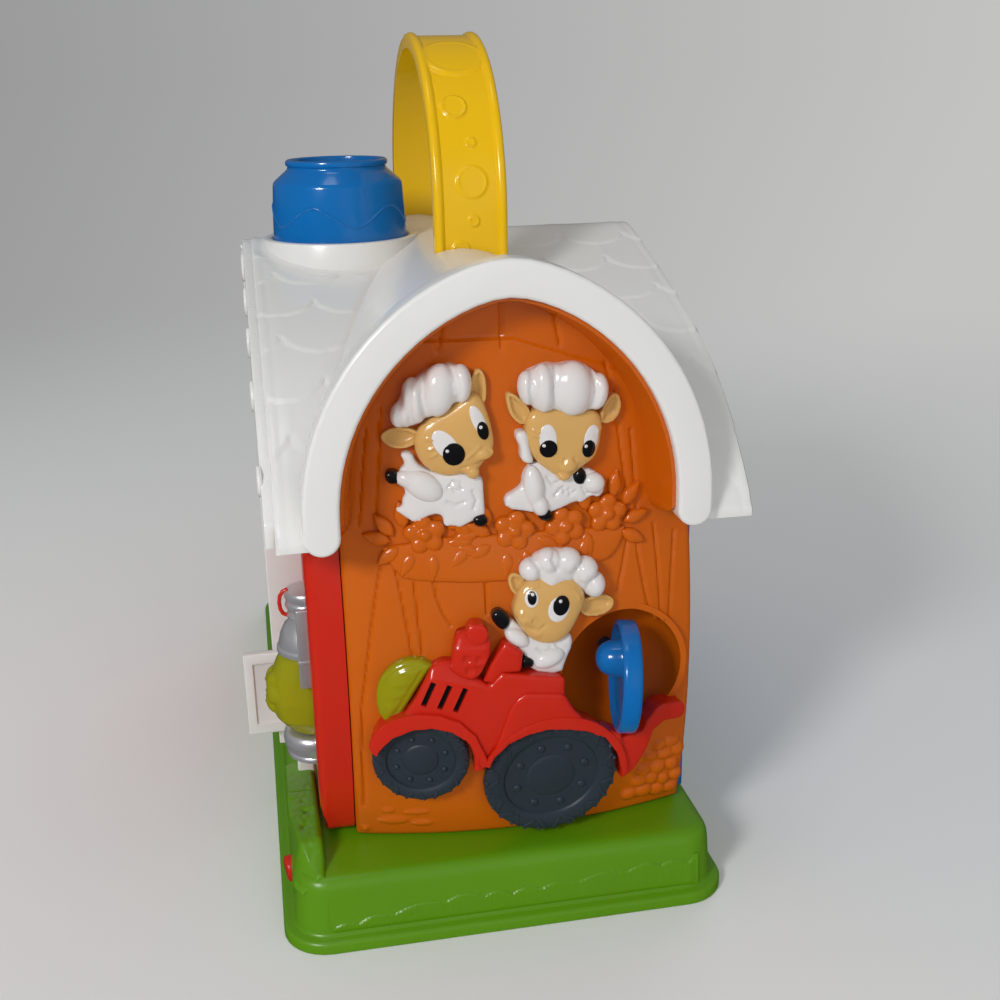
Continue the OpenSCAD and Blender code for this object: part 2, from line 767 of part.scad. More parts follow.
module lamb_right() {
    color("white") behind_blossom() {
        dome([25, 210], 9, 26, true) tufts_2d([[14, 207, 6], [18, 214, 6], [26, 216, 6.5], [35, 211, 6.5], [25, 207, 9]]);
        dome([25, 190], 10, 30, true) tufts_2d([[25, 194, 13], [27, 184, 10]]);
        relief(5, true) tufts_2d([[8.5, 203, 5.5], [38, 199.5, 4], [42.5, 201, 5]]);
        relief(6, true) polygon([[4, 172], [10, 184], [20, 178], [36, 178], [41, 170], [38, 164], [14, 162]]);
        relief(6.5, true) tufts_2d([[18, 162.5, 4], [32.5, 175, 4]]);
    }
}

module lamb_driver() {
    color("white") difference() {
        union() {
            dome([22, 143], 10, 26) tufts_2d([[11, 143, 5.5], [16, 148, 5.5], [25, 148.5, 6], [32, 144, 6], [35, 137, 5.5], [22, 141, 9]]);
            dome([16, 129], 11, 30) tufts_2d([[13, 134, 11], [19, 125, 11]]);
            relief(6) tufts_2d([[4.5, 140, 4.5], [33, 131, 4.5], [39, 127.5, 4.5]]);
            relief(7) polygon([[9.4, 108.5], [22, 106.6], [22.9, 110], [24.5, 116], [12, 124], [8, 128.5], [-1, 129.5], [-1.5, 124],
                [3, 124], [8.6, 118.7]]);
            relief(7.5) translate([-1, 126.6]) circle(4);
        }
        relief(2, sink = 1) planter_2d();
    }
}

module knob() {
    sy = skin_y(bowl_at[0], bowl_at[1]);
    half = knob_t / 2;
    hub = 5;
    side = [[knob_r, half - 2.2], [knob_r - 1, half - 1], [knob_r - 4, half], [7, half], [6.4, half + 2.4],
            [4, half + hub - 0.8], [0, half + hub]];
    color("dodgerblue") translate([bowl_at[0], sy, bowl_at[1]]) {
        translate([0, -knob_out, 0]) rotate([0, -knob_lean, 0]) rotate([0, 90, 0]) rotate_extrude($fn = 96)
            polygon(concat([for (i = [6:-1:0]) [side[i][0], -side[i][1]]], side));
        rotate([-90, 0, 0]) cylinder(r = stub_r, h = bowl_r + house_t + 6);
    }
}

module knob_clip() {
    sy = skin_y(bowl_at[0], bowl_at[1]);
    color("gray") translate([bowl_at[0], sy + bowl_r + house_t + 0.4, bowl_at[1]]) rotate([-90, 0, 0]) difference() {
        cylinder(r = stub_r + 3, h = 2);
        translate([0, 0, -1]) cylinder(r = stub_r, h = 4);
    }
}

// Half of a turned lantern piece on the outer face of the facade
module half_turn(pts) {
    translate([left_x, lantern_y, 0]) rotate([0, 0, 90]) rotate_extrude(angle = 180, $fn = 64) polygon(pts);
}

module lantern_frame() {
    top = lens_z + lens_h + gap;
    low = lens_z - gap;
    color("silver") {
        half_turn([[0, top], [12.5, top], [12.8, top + 2], [11.5, top + 8], [8, top + 14], [5.5, top + 17], [5.5, top + 19],
            [8, top + 19], [8.5, top + 21], [7, top + 22], [8.5, top + 23], [8.5, top + 26], [7, top + 27],
            [8, top + 28], [7.5, top + 30], [0, top + 30]]);
        half_turn([[0, low], [10.5, low], [11, low - 3], [13.5, low - 9], [13.8, low - 13], [12.5, low - 15], [0, low - 15]]);
        translate([left_x - 6, lantern_y - lens_r - 4, lens_z + 17]) cube([6, 3, lens_h + 5]);
        translate([left_x - 6, lantern_y - lens_r - 1 - eps, top + 3]) cube([6, 6, 4]);
    }
}

module lantern_lens() {
    back = house_t + gap;
    color("olive") {
        half_turn([[0, lens_z], [lens_r - 5, lens_z], [lens_r - 1, lens_z + lens_h * 0.2], [lens_r, lens_z + lens_h * 0.45],
            [lens_r - 1, lens_z + lens_h * 0.75], [lens_r - 3, lens_z + lens_h], [0, lens_z + lens_h]]);
        translate([left_x - eps, lantern_y - lens_r + 3, lens_z + 2]) cube([back + eps, 2 * lens_r - 6, lens_h - 4]);
        translate([left_x + back, lantern_y - lens_r + 0.4, lens_z - 3]) cube([1.6, 2 * lens_r + 2, lens_h + 6]);
    }
}

module lantern_bail() {
    color("crimson") translate([left_x - 6.5, lantern_y, lens_z + lens_h + 18]) rotate([0, 12, 0]) rotate([0, 90, 0])
        rotate_extrude($fn = 48) translate([9.4, 0]) circle(0.8, $fn = 24);
}

module lantern_spring() {
    x0 = left_x + house_t + gap + 1.6;
    color("silver") translate([x0 + 0.1, lantern_y + 8, lens_z + lens_h / 2]) rotate([0, 90, 0]) difference() {
        cylinder(r = 3, h = 12 - gap - 1.6 - 0.2);
        translate([0, 0, -1]) cylinder(r = 2.2, h = 20);
    }
}

module lantern_board() {
    color("green") translate([left_x + house_t + 12, lantern_y - 14, lens_z - 18]) cube([1.6, 28, lens_h + 36]);
}

module led_lantern() {
    x1 = left_x + house_t + 12;
    color("white") translate([x1, lantern_y - 6, lens_z + lens_h / 2]) rotate([0, -90, 0]) cylinder(r = led_r, h = 5);
}

module door_post() {
    color("white") translate([left_x - 16, door_y + 3.4, base_h]) cube([16, 5, eave_z - base_h - 4]);
}

module side_door() {
    x0 = left_x - 3;
    color("white") translate([0, door_y, door_z]) difference() {
        union() {
            translate([x0 - leaf_w, -leaf_t / 2, 0]) cube([leaf_w, leaf_t, leaf_h]);
            translate([x0, 0, 0]) cylinder(r = 2.6, h = leaf_h);
        }
        translate([x0, 0, -1]) cylinder(r = pin_r + run_fit, h = leaf_h + 2);
        translate([x0 - leaf_w + 4, -leaf_t / 2 - 1, 5]) cube([leaf_w - 9, 2, leaf_h - 10]);
    }
}

module door_pin() {
    color("silver") translate([left_x - 3, door_y, door_z - 4.5]) cylinder(r = pin_r, h = leaf_h + 8.5 + gap);
}

module circuit_board() {
    color("green") translate([house_shift, 40, base_h + 6.8]) cube([84, 64, 1.6], center = true);
}

module speaker() {
    color("dimgray") translate([right_x - house_t, 0, 110]) rotate([0, -90, 0]) {
        cylinder(r = 26, h = 3);
        cylinder(r1 = 22, r2 = 14, h = 11);
        cylinder(r = 14, h = 16);
    }
}

module led_headlight() {
    color("white") on_skin(light_at[0], light_at[1]) translate([0, 0, -9]) cylinder(r = led_r, h = 8.5);
}

module power_switch() {
    x0 = right_x - house_t - gap;
    color("black") {
        translate([x0 - 1.6, 51, 55]) cube([1.6, 18, 10]);
        translate([x0 - eps, 52 + gap, 57.5 + gap]) cube([house_t + gap + 2.5, 8 - 2 * gap, 5 - 2 * gap]);
    }
}

base_tray();
red_dot();
base_cover();
battery_door();
door_screw();
battery_left();
battery_mid();
battery_right();
contact_front();
contact_rear();
screw_fl();
screw_fr();
screw_bl();
screw_br();
left_wall();
right_wall();
front_panel();
front_loft();
back_panel();
back_loft();
roof_left();
roof_right();
vault();
hood_front();
hood_back();
gable_trim();
handle();
chimney_cup();
chimney_spring();
tractor_body();
wheel_front();
wheel_rear();
clip_front();
clip_rear();
headlight_lens();
lamb_left();
lamb_right();
lamb_driver();
knob();
knob_clip();
lantern_frame();
lantern_lens();
lantern_bail();
lantern_spring();
lantern_board();
led_lantern();
door_post();
side_door();
door_pin();
circuit_board();
speaker();
led_headlight();
power_switch();
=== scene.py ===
"""Farm barn toy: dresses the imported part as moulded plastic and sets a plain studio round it."""

import math

import bpy
import numpy as np
from mathutils import Matrix, Vector


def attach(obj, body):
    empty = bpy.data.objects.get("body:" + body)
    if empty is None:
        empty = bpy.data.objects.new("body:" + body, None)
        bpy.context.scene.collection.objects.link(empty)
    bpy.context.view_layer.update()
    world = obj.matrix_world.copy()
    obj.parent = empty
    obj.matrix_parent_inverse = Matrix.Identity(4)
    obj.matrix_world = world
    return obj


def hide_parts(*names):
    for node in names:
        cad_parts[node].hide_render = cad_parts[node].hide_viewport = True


bl_info = {
    "name": "Farm Barn Toy",
    "version": (1, 0, 0),
    "blender": (4, 5, 0),
    "location": "View3D > Sidebar > Barn",
    "description": "Dresses a packed farm barn toy and sets the studio round it",
    "category": "Object",
}

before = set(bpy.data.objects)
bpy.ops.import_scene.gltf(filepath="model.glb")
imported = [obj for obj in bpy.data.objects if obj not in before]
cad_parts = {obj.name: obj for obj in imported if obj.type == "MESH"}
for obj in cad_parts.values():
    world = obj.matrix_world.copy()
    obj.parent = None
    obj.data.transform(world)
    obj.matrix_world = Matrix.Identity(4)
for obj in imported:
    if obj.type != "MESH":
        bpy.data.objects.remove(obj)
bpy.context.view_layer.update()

# Sizes are in mm unless they say otherwise
MM = 0.001
# Points nearer than this are merged
WELD = 0.002
# Points of a relief higher than this belong to its top
RELIEF_TOP = 2.0
HOUSE = "house"
SMOOTH_ANGLE = math.radians(38)

# Base: flange, its corners and the pocket under the deck
BASE_SIZE = (178, 354)
BASE_CORNER = 18
FLANGE_T = 3.2
POCKET_RIM = 10.5
POCKET_DEEP = 25.5
HEDGE_SIDES = (-84.6, -71.5)
HEDGE_ENDS = (-168.0, -91.0)
HEDGE_SPLIT = -117.0
GRASS_SIDES = (-72.0, 76.0)
GRASS_HEIGHTS = (6.2, 19.5)

# The end panel swells as a ball up to the join and stands upright above it
PANEL_X = 9.5
PANEL_R = 250.0
PANEL_MID = 99.5
PANEL_JOIN = 157.0
PANEL_FOOT = 28.5
PANEL_SIDES = (-58.5, 77.5)
PANEL_CORNER = 4.0
PANEL_T = 2.6
AXIS_Y = -141.3 + math.sqrt(PANEL_R**2 - 68.0**2 - 71.0**2)
END_Y = -134.0
JOIN_SOFT = 3.0

# Pointed arch of the hoods and the vault
ARCH_X = 2.5
ARCH_HALF = 61.0
ARCH_C = 17.0
ARCH_SPRING = 172.0
HOOD_Y = 160.5

# Roof: each slope falls partly straight and partly in a curl towards the eave
RIDGE_Z = 249.5
RIDGE_SOFT = 6.0
ROOF_RISE = 88.5
ROOF_HALF = 168.5
ROOF_REACH = math.sqrt(ROOF_HALF**2 + RIDGE_SOFT**2) - RIDGE_SOFT
ROOF_STRAIGHT = 0.56
ROOF_CURL = 0.44
ROOF_SIDES = (-80.95, 94.55)
ROOF_T = 2.8
SHINGLE_ROWS = 12
BOARD_HALF = 162.0
BOARD_WAVES = 5

CUP_AT = (-41.0, -5.0)
BOWL_AT = (46.8, 98.5)
BOWL_R = 24.5
WHEEL_FRONT = (-32.0, 70.5, 18.6)
WHEEL_REAR = (17.5, 58.5, 26.6)
WHEEL_GAP = 1.4
WHEEL_T = 4.8
WHEEL_BOLTS = 8
LUGS_FRONT = 20
LUGS_REAR = 26
LANTERN_AT = (-69.5, -116.0)

# The photograph's camera: place in mm, turns in degrees, lens and sensor in mm
CAMERA_AT = (-82.49, -589.30, 318.49)
CAMERA_PITCH = 18.581
CAMERA_YAW = 10.865
CAMERA_ROLL = -1.042
CAMERA_LENS = 45.98
CAMERA_SENSOR = 36.0


# Colour and finish


def linear(code):
    """Linear colour of an sRGB hex value such as #C8641A."""
    parts = [int(code[i : i + 2], 16) / 255 for i in (1, 3, 5)]
    return tuple(c / 12.92 if c <= 0.04045 else ((c + 0.055) / 1.055) ** 2.4 for c in parts)


def add(tree, kind, values=None, **settings):
    """Adds a node, sets its options, and sets or links its sockets."""
    node = tree.nodes.new(kind)
    for key, value in settings.items():
        setattr(node, key, value)
    for key, value in (values or {}).items():
        if isinstance(value, bpy.types.NodeSocket):
            tree.links.new(value, node.inputs[key])
        else:
            node.inputs[key].default_value = value
    return node


def blank(name):
    """An empty node material."""
    mat = bpy.data.materials.get(name) or bpy.data.materials.new(name)
    mat.use_nodes = True
    mat.node_tree.nodes.clear()
    return mat, mat.node_tree


def scaled(tone, factor):
    """A colour with alpha, lighter or darker by a factor."""
    return (*[min(1.0, c * factor) for c in tone], 1.0)


def moulded(name, tone, rough, cloud_mm=55.0, drift=0.07, grain_mm=0.9, depth_mm=0.012, **sockets):
    """Moulded plastic: an even colour with faint flow clouds, a gloss that wanders, and a fine tool grain.
    The real grain is near 0.05 mm and is drawn coarser so that it shows."""
    mat, tree = blank(name)
    place = add(tree, "ShaderNodeTexCoord").outputs["Object"]
    cloud = add(tree, "ShaderNodeTexNoise", {"Vector": place, "Scale": 1 / (cloud_mm * MM), "Detail": 3.0})
    tones = {0: cloud.outputs["Fac"], 6: scaled(tone, 1 - drift), 7: scaled(tone, 1 + drift)}
    tint = add(tree, "ShaderNodeMix", tones, data_type="RGBA")
    wander = add(tree, "ShaderNodeTexNoise", {"Vector": place, "Scale": 1 / (18 * MM), "Detail": 1.0})
    span = {"From Min": 0.3, "From Max": 0.7, "To Min": rough - 0.02, "To Max": rough + 0.03}
    gloss = add(tree, "ShaderNodeMapRange", {"Value": wander.outputs["Fac"], **span})
    grain = add(tree, "ShaderNodeTexNoise", {"Vector": place, "Scale": 1 / (grain_mm * MM), "Detail": 2.0})
    relief = {"Height": grain.outputs["Fac"], "Strength": 0.5, "Distance": depth_mm * MM}
    bump = add(tree, "ShaderNodeBump", relief)
    values = {
        "Base Color": tint.outputs[2],
        "Roughness": gloss.outputs["Result"],
        "IOR": 1.53,
        "Normal": bump.outputs["Normal"],
        **sockets,
    }
    shader = add(tree, "ShaderNodeBsdfPrincipled", values)
    add(tree, "ShaderNodeOutputMaterial", {"Surface": shader.outputs["BSDF"]})
    return mat


FINISHES = {}


def finish_table(hue):
    """Name, colour, roughness and other settings of every finish."""
    return {
        # High-gloss ABS and satin polypropylene: saturated, with a clear soft highlight
        "white": ("gloss_abs_white", hue.white, 0.24, {"drift": 0.03}),
        "orange": ("gloss_abs_orange", hue.orange, 0.22, {}),
        "red": ("gloss_abs_red", hue.red, 0.22, {}),
        "green": ("satin_pp_green", hue.green, 0.32, {}),
        "dark_green": ("satin_pp_dark_green", scaled(hue.green, 0.6)[:3], 0.45, {}),
        "yellow": ("gloss_abs_yellow", hue.yellow, 0.19, {}),
        "blue": ("gloss_abs_blue", hue.blue, 0.17, {}),
        # Filled polypropylene of the wheels: dull and uneven
        "slate": ("satin_pp_slate", hue.slate, 0.5, {"drift": 0.15}),
        # Lamb paints: tampo-printed enamel over the moulding, glossy
        "tan": ("gloss_enamel_tan", hue.tan, 0.18, {}),
        "fleece": ("gloss_enamel_white", hue.fleece, 0.17, {"drift": 0.02}),
        # Black also paints the shade inside the tractor's grille slots
        "black": ("gloss_enamel_black_and_slot_shade", (0.006, 0.006, 0.007), 0.18, {}),
        # Tinted polycarbonate: light passes part way in
        "lens": ("clear_polycarbonate_lime", hue.lens, 0.16, {"Transmission Weight": 0.35, "IOR": 1.58}),
        # Metallised paint on ABS: bright but soft, as vacuum silver under lacquer
        "silver": ("metallised_abs_silver", hue.silver, 0.3, {"Metallic": 0.7}),
        "steel": ("drawn_steel", linear("#B4B4B0"), 0.35, {"Metallic": 1.0}),
        "cell": ("printed_cell_sleeve", linear("#5C5E62"), 0.35, {"Metallic": 0.5}),
        "board": ("solder_mask_green", linear("#1E5B34"), 0.4, {"grain_mm": 1.5}),
        "clip": ("acetal_grey", linear("#8C8E90"), 0.45, {}),
        "led": ("clear_epoxy", linear("#E9E7DF"), 0.12, {"Transmission Weight": 0.5}),
    }


def finish(key):
    """The finish of a material slot, made once from the colours of the panel."""
    if key not in FINISHES:
        name, tone, rough, more = finish_table(bpy.context.scene.barn_colours)[key]
        FINISHES[key] = moulded(name, tone, rough, **more)
    return FINISHES[key]


# Modelling steps


def rest_mode():
    """Object mode with nothing selected, because operators act on the selection."""
    if bpy.context.object and bpy.context.object.mode != "OBJECT":
        bpy.ops.object.mode_set(mode="OBJECT")
    bpy.ops.object.select_all(action="DESELECT")


def take(obj):
    """Makes obj the only selected object."""
    rest_mode()
    obj.select_set(True)
    bpy.context.view_layer.objects.active = obj
    return obj


def named(name):
    """Names the active object and its mesh."""
    obj = bpy.context.object
    obj.name = obj.data.name = name
    return obj


def into_edit(obj=None):
    """Edit mode with everything selected."""
    if obj:
        take(obj)
    bpy.ops.object.mode_set(mode="EDIT")
    bpy.ops.mesh.select_all(action="SELECT")


def heal():
    """Merges doubles and turns all faces outwards, in edit mode."""
    bpy.ops.mesh.select_all(action="SELECT")
    bpy.ops.mesh.remove_doubles(threshold=WELD * MM)
    bpy.ops.mesh.normals_make_consistent(inside=False)


def bake():
    """Applies the active object's place, turn and scale to its mesh."""
    bpy.ops.object.transform_apply(location=True, rotation=True, scale=True)


def applied(obj, *steps):
    """Applies modifiers in order, each given as its type and settings."""
    take(obj)
    for kind, settings in steps:
        mod = obj.modifiers.new(kind.title(), kind)
        for key, value in settings.items():
            setattr(mod, key, value)
        bpy.ops.object.modifier_apply(modifier=mod.name)
    return obj


def points_of(obj):
    """The mesh's points as rows of numbers, in metres."""
    flat = np.empty(len(obj.data.vertices) * 3)
    obj.data.vertices.foreach_get("co", flat)
    return flat.reshape(-1, 3)


def set_points(obj, rows):
    """Puts points back into the mesh."""
    obj.data.vertices.foreach_set("co", np.ascontiguousarray(rows, dtype=np.float64).ravel())
    obj.data.update()
    return obj


def line(name, points):
    """Draws a broken line in mm by extruding one vertex from point to point, and stays in edit mode."""
    rest_mode()
    bpy.ops.mesh.primitive_plane_add(size=MM)
    obj = named(name)
    into_edit()
    bpy.ops.mesh.merge(type="CENTER")
    path = [Vector(p) * MM for p in points]
    bpy.ops.transform.translate(value=path[0])
    for a, b in zip(path, path[1:]):
        bpy.ops.mesh.extrude_vertices_move(TRANSFORM_OT_translate={"value": b - a})
    bpy.ops.mesh.select_all(action="SELECT")
    return obj


def turned(name, profile, place, steps=64):
    """Spins a profile of (radius, height) points in mm about the local Z axis and puts it in place."""
    obj = line(name, [(r, 0, h) for r, h in profile])
    bpy.ops.mesh.spin(steps=steps, angle=2 * math.pi, center=(0, 0, 0), axis=(0, 0, 1))
    heal()
    rest_mode()
    obj.data.transform(place)
    return obj


def slab(name, outline, low, high):
    """Fills a closed outline of (left-right, height) points and extrudes it from low to high."""
    ring = [(x, z, low) for x, z in outline]
    obj = line(name, ring + ring[:1])
    bpy.ops.mesh.remove_doubles(threshold=WELD * MM)
    bpy.ops.mesh.select_all(action="SELECT")
    bpy.ops.mesh.edge_face_add()
    bpy.ops.mesh.extrude_region_move(TRANSFORM_OT_translate={"value": (0, 0, (high - low) * MM)})
    heal()
    rest_mode()
    return obj


def softened(obj, voxel, rounds, shaded=False):
    """Rounds a shape's edges: an even skin of small faces, then smoothing."""
    skin = {"mode": "VOXEL", "voxel_size": voxel * MM, "use_smooth_shade": shaded}
    return applied(obj, ("REMESH", skin), ("SMOOTH", {"factor": 0.5, "iterations": rounds}))


def shell(obj, thick, side=-1.0):
    """Thickens a sheet towards one side, by default the one behind it, in mm."""
    return applied(obj, ("SOLIDIFY", {"thickness": thick * MM, "offset": side}))


def shift(x, y, z):
    """A move in mm."""
    return Matrix.Translation((x * MM, y * MM, z * MM))


def spin(degrees, axis="Z"):
    """A turn about an axis through the origin."""
    return Matrix.Rotation(math.radians(degrees), 4, axis)


def span_to(points, path):
    """Distance of flat points from a broken line, all in mm."""
    best = np.full(len(points), 1e9)
    for a, b in zip(path, path[1:]):
        a, b = np.array(a[:2], float), np.array(b[:2], float)
        ab = b - a
        t = np.clip(((points - a) @ ab) / max(ab @ ab, 1e-9), 0, 1)
        best = np.minimum(best, np.linalg.norm(points - a - t[:, None] * ab, axis=1))
    return best


def plate(name, outline, low, high, swell=0.0, reach=6.0, voxel=0.7, rounds=6, lip=0.0):
    """A plate with soft edges from an outline, swollen (or hollowed) inside its lip."""
    obj = softened(slab(name, outline, low, high), voxel, rounds)
    if swell:
        rows = points_of(obj)
        inside = np.clip((span_to(rows[:, :2] / MM, outline + outline[:1]) - lip) / reach, 0, 1)
        rise = np.sqrt(1 - (1 - inside) ** 2) * (rows[:, 2] > 0.3 * high * MM)
        rows[:, 2] += swell * MM * rise
        set_points(obj, rows)
    return obj


def eased(outline, rounds=2):
    """Rounds the corners of a closed outline."""
    for _ in range(rounds):
        sides = list(zip(outline, outline[1:] + outline[:1]))
        quarters = [(a, b, s) for a, b in sides for s in (0.25, 0.75)]
        outline = [(a[0] + s * (b[0] - a[0]), a[1] + s * (b[1] - a[1])) for a, b, s in quarters]
    return outline


def lobe(x, z, h, rx, rz, rh, turn=0.0):
    """A rounded lump over the panel, to be joined with others."""
    rest_mode()
    bpy.ops.mesh.primitive_uv_sphere_add(
        segments=28,
        ring_count=14,
        radius=MM,
        location=(x * MM, z * MM, h * MM),
        rotation=(0, 0, math.radians(turn)),
        scale=(rx, rz, rh),
    )
    return bpy.context.object


def joined(name, objs):
    """Joins pieces into one mesh at the origin."""
    take(objs[0])
    for obj in objs[1:]:
        obj.select_set(True)
    if len(objs) > 1:
        bpy.ops.object.join()
    bake()
    return named(name)


def block(name, at, sizes, edge, segments=3):
    """Box with rounded edges, in mm."""
    rest_mode()
    bpy.ops.mesh.primitive_cube_add(size=MM)
    obj = named(name)
    obj.data.transform(Matrix.Translation(Vector(at) * MM) @ Matrix.Diagonal((*sizes, 1)))
    return applied(obj, ("BEVEL", {"width": edge * MM, "segments": segments}))


def strand(name, points, radius, sides=3):
    """A round bead along a broken line of points in mm."""
    obj = line(name, points)
    rest_mode()
    take(obj)
    bpy.ops.object.convert(target="CURVE")
    obj.data.bevel_depth = radius * MM
    obj.data.bevel_resolution = sides
    obj.data.use_fill_caps = True
    bpy.ops.object.convert(target="MESH")
    obj = named(name)
    into_edit(obj)
    heal()
    rest_mode()
    return obj


def copied(obj, matrix):
    """A copy with its own mesh, moved."""
    twin = obj.copy()
    twin.data = obj.data.copy()
    twin.data.transform(matrix)
    bpy.context.collection.objects.link(twin)
    return twin


def sheet(name, sides, ends, step):
    """A flat grid of even faces over sides and ends, in mm."""
    rest_mode()
    wide, long = sides[1] - sides[0], ends[1] - ends[0]
    counts = {"x_subdivisions": round(wide / step), "y_subdivisions": round(long / step)}
    bpy.ops.mesh.primitive_grid_add(size=MM, **counts)
    obj = named(name)
    middle = Vector((sum(sides), sum(ends), 0)) / 2 * MM
    obj.data.transform(Matrix.Translation(middle) @ Matrix.Diagonal((wide, long, 1, 1)))
    return obj


def drop_faces(obj, outside):
    """Deletes the faces whose points are all outside."""
    into_edit(obj)
    bpy.ops.mesh.select_mode(type="FACE")
    bpy.ops.mesh.select_all(action="DESELECT")
    bpy.ops.object.mode_set(mode="OBJECT")
    for poly in obj.data.polygons:
        poly.select = all(outside[i] for i in poly.vertices)
    bpy.ops.object.mode_set(mode="EDIT")
    bpy.ops.mesh.delete(type="FACE")
    bpy.ops.mesh.select_mode(type="VERT")
    rest_mode()
    return obj


def skirted(obj, axis, level):
    """Carries the open edge of a sheet along an axis to one level, in mm."""
    into_edit(obj)
    bpy.ops.mesh.select_all(action="DESELECT")
    bpy.ops.mesh.select_non_manifold()
    bpy.ops.mesh.extrude_region_move(TRANSFORM_OT_translate={"value": (0, 0, 0)})
    keep, middle = [1, 1, 1], [0, 0, 0]
    keep[axis], middle[axis] = 0, level * MM
    bpy.ops.transform.resize(value=keep, center_override=middle)
    heal()
    rest_mode()
    return obj


def seat(obj, slot, *nodes, body=HOUSE, coat=None, angle=SMOOTH_ANGLE):
    """Shades a piece, gives it its finish and puts it on its body in place of the CAD nodes."""
    take(obj)
    bpy.ops.object.shade_smooth_by_angle(angle=angle)
    obj.data.materials.clear()
    obj.data.materials.append(finish(coat or slot))
    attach(obj, body)
    if nodes:
        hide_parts(*nodes)
    return obj


def dressed(node, slot, width=0.0, segments=3, limit=40.0, body=HOUSE):
    """A copy of a CAD node with rounded edges, which stands for it."""
    rest_mode()
    obj = bpy.data.objects.new(node + "_moulding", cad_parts[node].data.copy())
    bpy.context.collection.objects.link(obj)
    into_edit(obj)
    bpy.ops.mesh.remove_doubles(threshold=WELD * MM)
    bpy.ops.mesh.customdata_custom_splitnormals_clear()
    bpy.ops.mesh.dissolve_limited(angle_limit=math.radians(0.4))
    rest_mode()
    if width:
        edges = {"limit_method": "ANGLE", "angle_limit": math.radians(limit)}
        applied(obj, ("BEVEL", {"width": width * MM, "segments": segments, **edges}))
    return seat(obj, slot, node, body=body)


# Shapes of this barn


def skin_parts(x, z):
    """Front-back place of the panel skin and its normal, with a soft join, in mm."""
    gap = np.clip((PANEL_JOIN - z) / JOIN_SOFT, -60, 60)
    low = PANEL_JOIN - JOIN_SOFT * np.log1p(np.exp(gap)) - PANEL_MID
    slope = 1 / (1 + np.exp(-gap))
    y = AXIS_Y - np.sqrt(PANEL_R**2 - low**2 - (x - PANEL_X) ** 2)
    out = np.stack([x - PANEL_X, y - AXIS_Y, low * slope], axis=-1)
    return y, out / np.linalg.norm(out, axis=-1, keepdims=True)


def laid(obj):
    """Lays a flat piece (left-right, height, depth) on the swelling panel."""
    rows = points_of(obj) / MM
    y, out = skin_parts(rows[:, 0], rows[:, 1])
    base = np.stack([rows[:, 0], y, rows[:, 1]], axis=-1)
    return set_points(obj, (base + out * rows[:, 2:3]) * MM)


def stand_on(x, z, proud=0.0):
    """Place on the panel skin with the local Z axis along its normal."""
    y, out = skin_parts(np.array([x]), np.array([z]))
    normal = Vector(out[0])
    side = Vector((0, 0, 1)).cross(normal).normalized()
    turn = Matrix((side, normal.cross(side), normal)).transposed().to_4x4()
    return Matrix.Translation((Vector((x, y[0], z)) + normal * proud) * MM) @ turn


def arch(grow, steps=28):
    """Right to left points (left-right, height) of the pointed arch grown outwards, in mm."""
    r = ARCH_HALF + ARCH_C + grow
    top = math.acos(ARCH_C / r)
    turns = [top * i / steps for i in range(steps + 1)]
    right = [(r * math.cos(t) - ARCH_C, ARCH_SPRING + r * math.sin(t)) for t in turns]
    left = [(-x, z) for x, z in reversed(right[:-1])]
    return [(ARCH_X + x, z - soft_peak(x)) for x, z in right + left]


def soft_peak(x):
    """How far the rounded peak of the arch lies below its sharp one, at x from its middle."""
    return 0.2236 * (np.hypot(x, 8.0) - np.abs(x))


def arch_gap(x, z):
    """How far points lie outside the arch, in mm."""
    side = np.abs(x - ARCH_X) + ARCH_C
    return np.hypot(side, np.maximum(z - ARCH_SPRING, 0)) - ARCH_HALF - ARCH_C


def in_arch(x, z, grow):
    """True where points lie inside the arch grown outwards."""
    return arch_gap(x, z) < grow


def roof_share(y):
    """Share of the way from the soft ridge to the eave."""
    return (np.sqrt(y**2 + RIDGE_SOFT**2) - RIDGE_SOFT) / ROOF_REACH


def roof_fall(share):
    """How far the roof has fallen at a share of the way to the eave, in mm."""
    return ROOF_RISE * (ROOF_STRAIGHT * share + ROOF_CURL * share**5)


def roof_z(y):
    """Height of the roof skin over front-back y, in mm."""
    return RIDGE_Z - roof_fall(roof_share(y))


def arc(at, r, start, end, steps):
    """Points of a circle from one angle to another, in mm and degrees."""
    turns = [math.radians(start + (end - start) * i / steps) for i in range(steps + 1)]
    return [(at[0] + r * math.cos(t), at[1] + r * math.sin(t)) for t in turns]


def smooth(share):
    """Soft step from 0 to 1."""
    share = np.clip(share, 0, 1)
    return share * share * (3 - 2 * share)


def bulge(away):
    """Height of a half ball of radius 1 at a distance from its middle."""
    return np.sqrt(np.clip(1 - away**2, 0, 1))


def bead(distance, width):
    """Soft bead of height 1 that fades over a width."""
    return np.exp(-((distance / width) ** 2))


def edge_drop(distance, radius):
    """How far a rounded edge falls at a distance from it."""
    near = np.clip(1 - distance / radius, 0, 1)
    return radius * (1 - np.sqrt(1 - near**2))


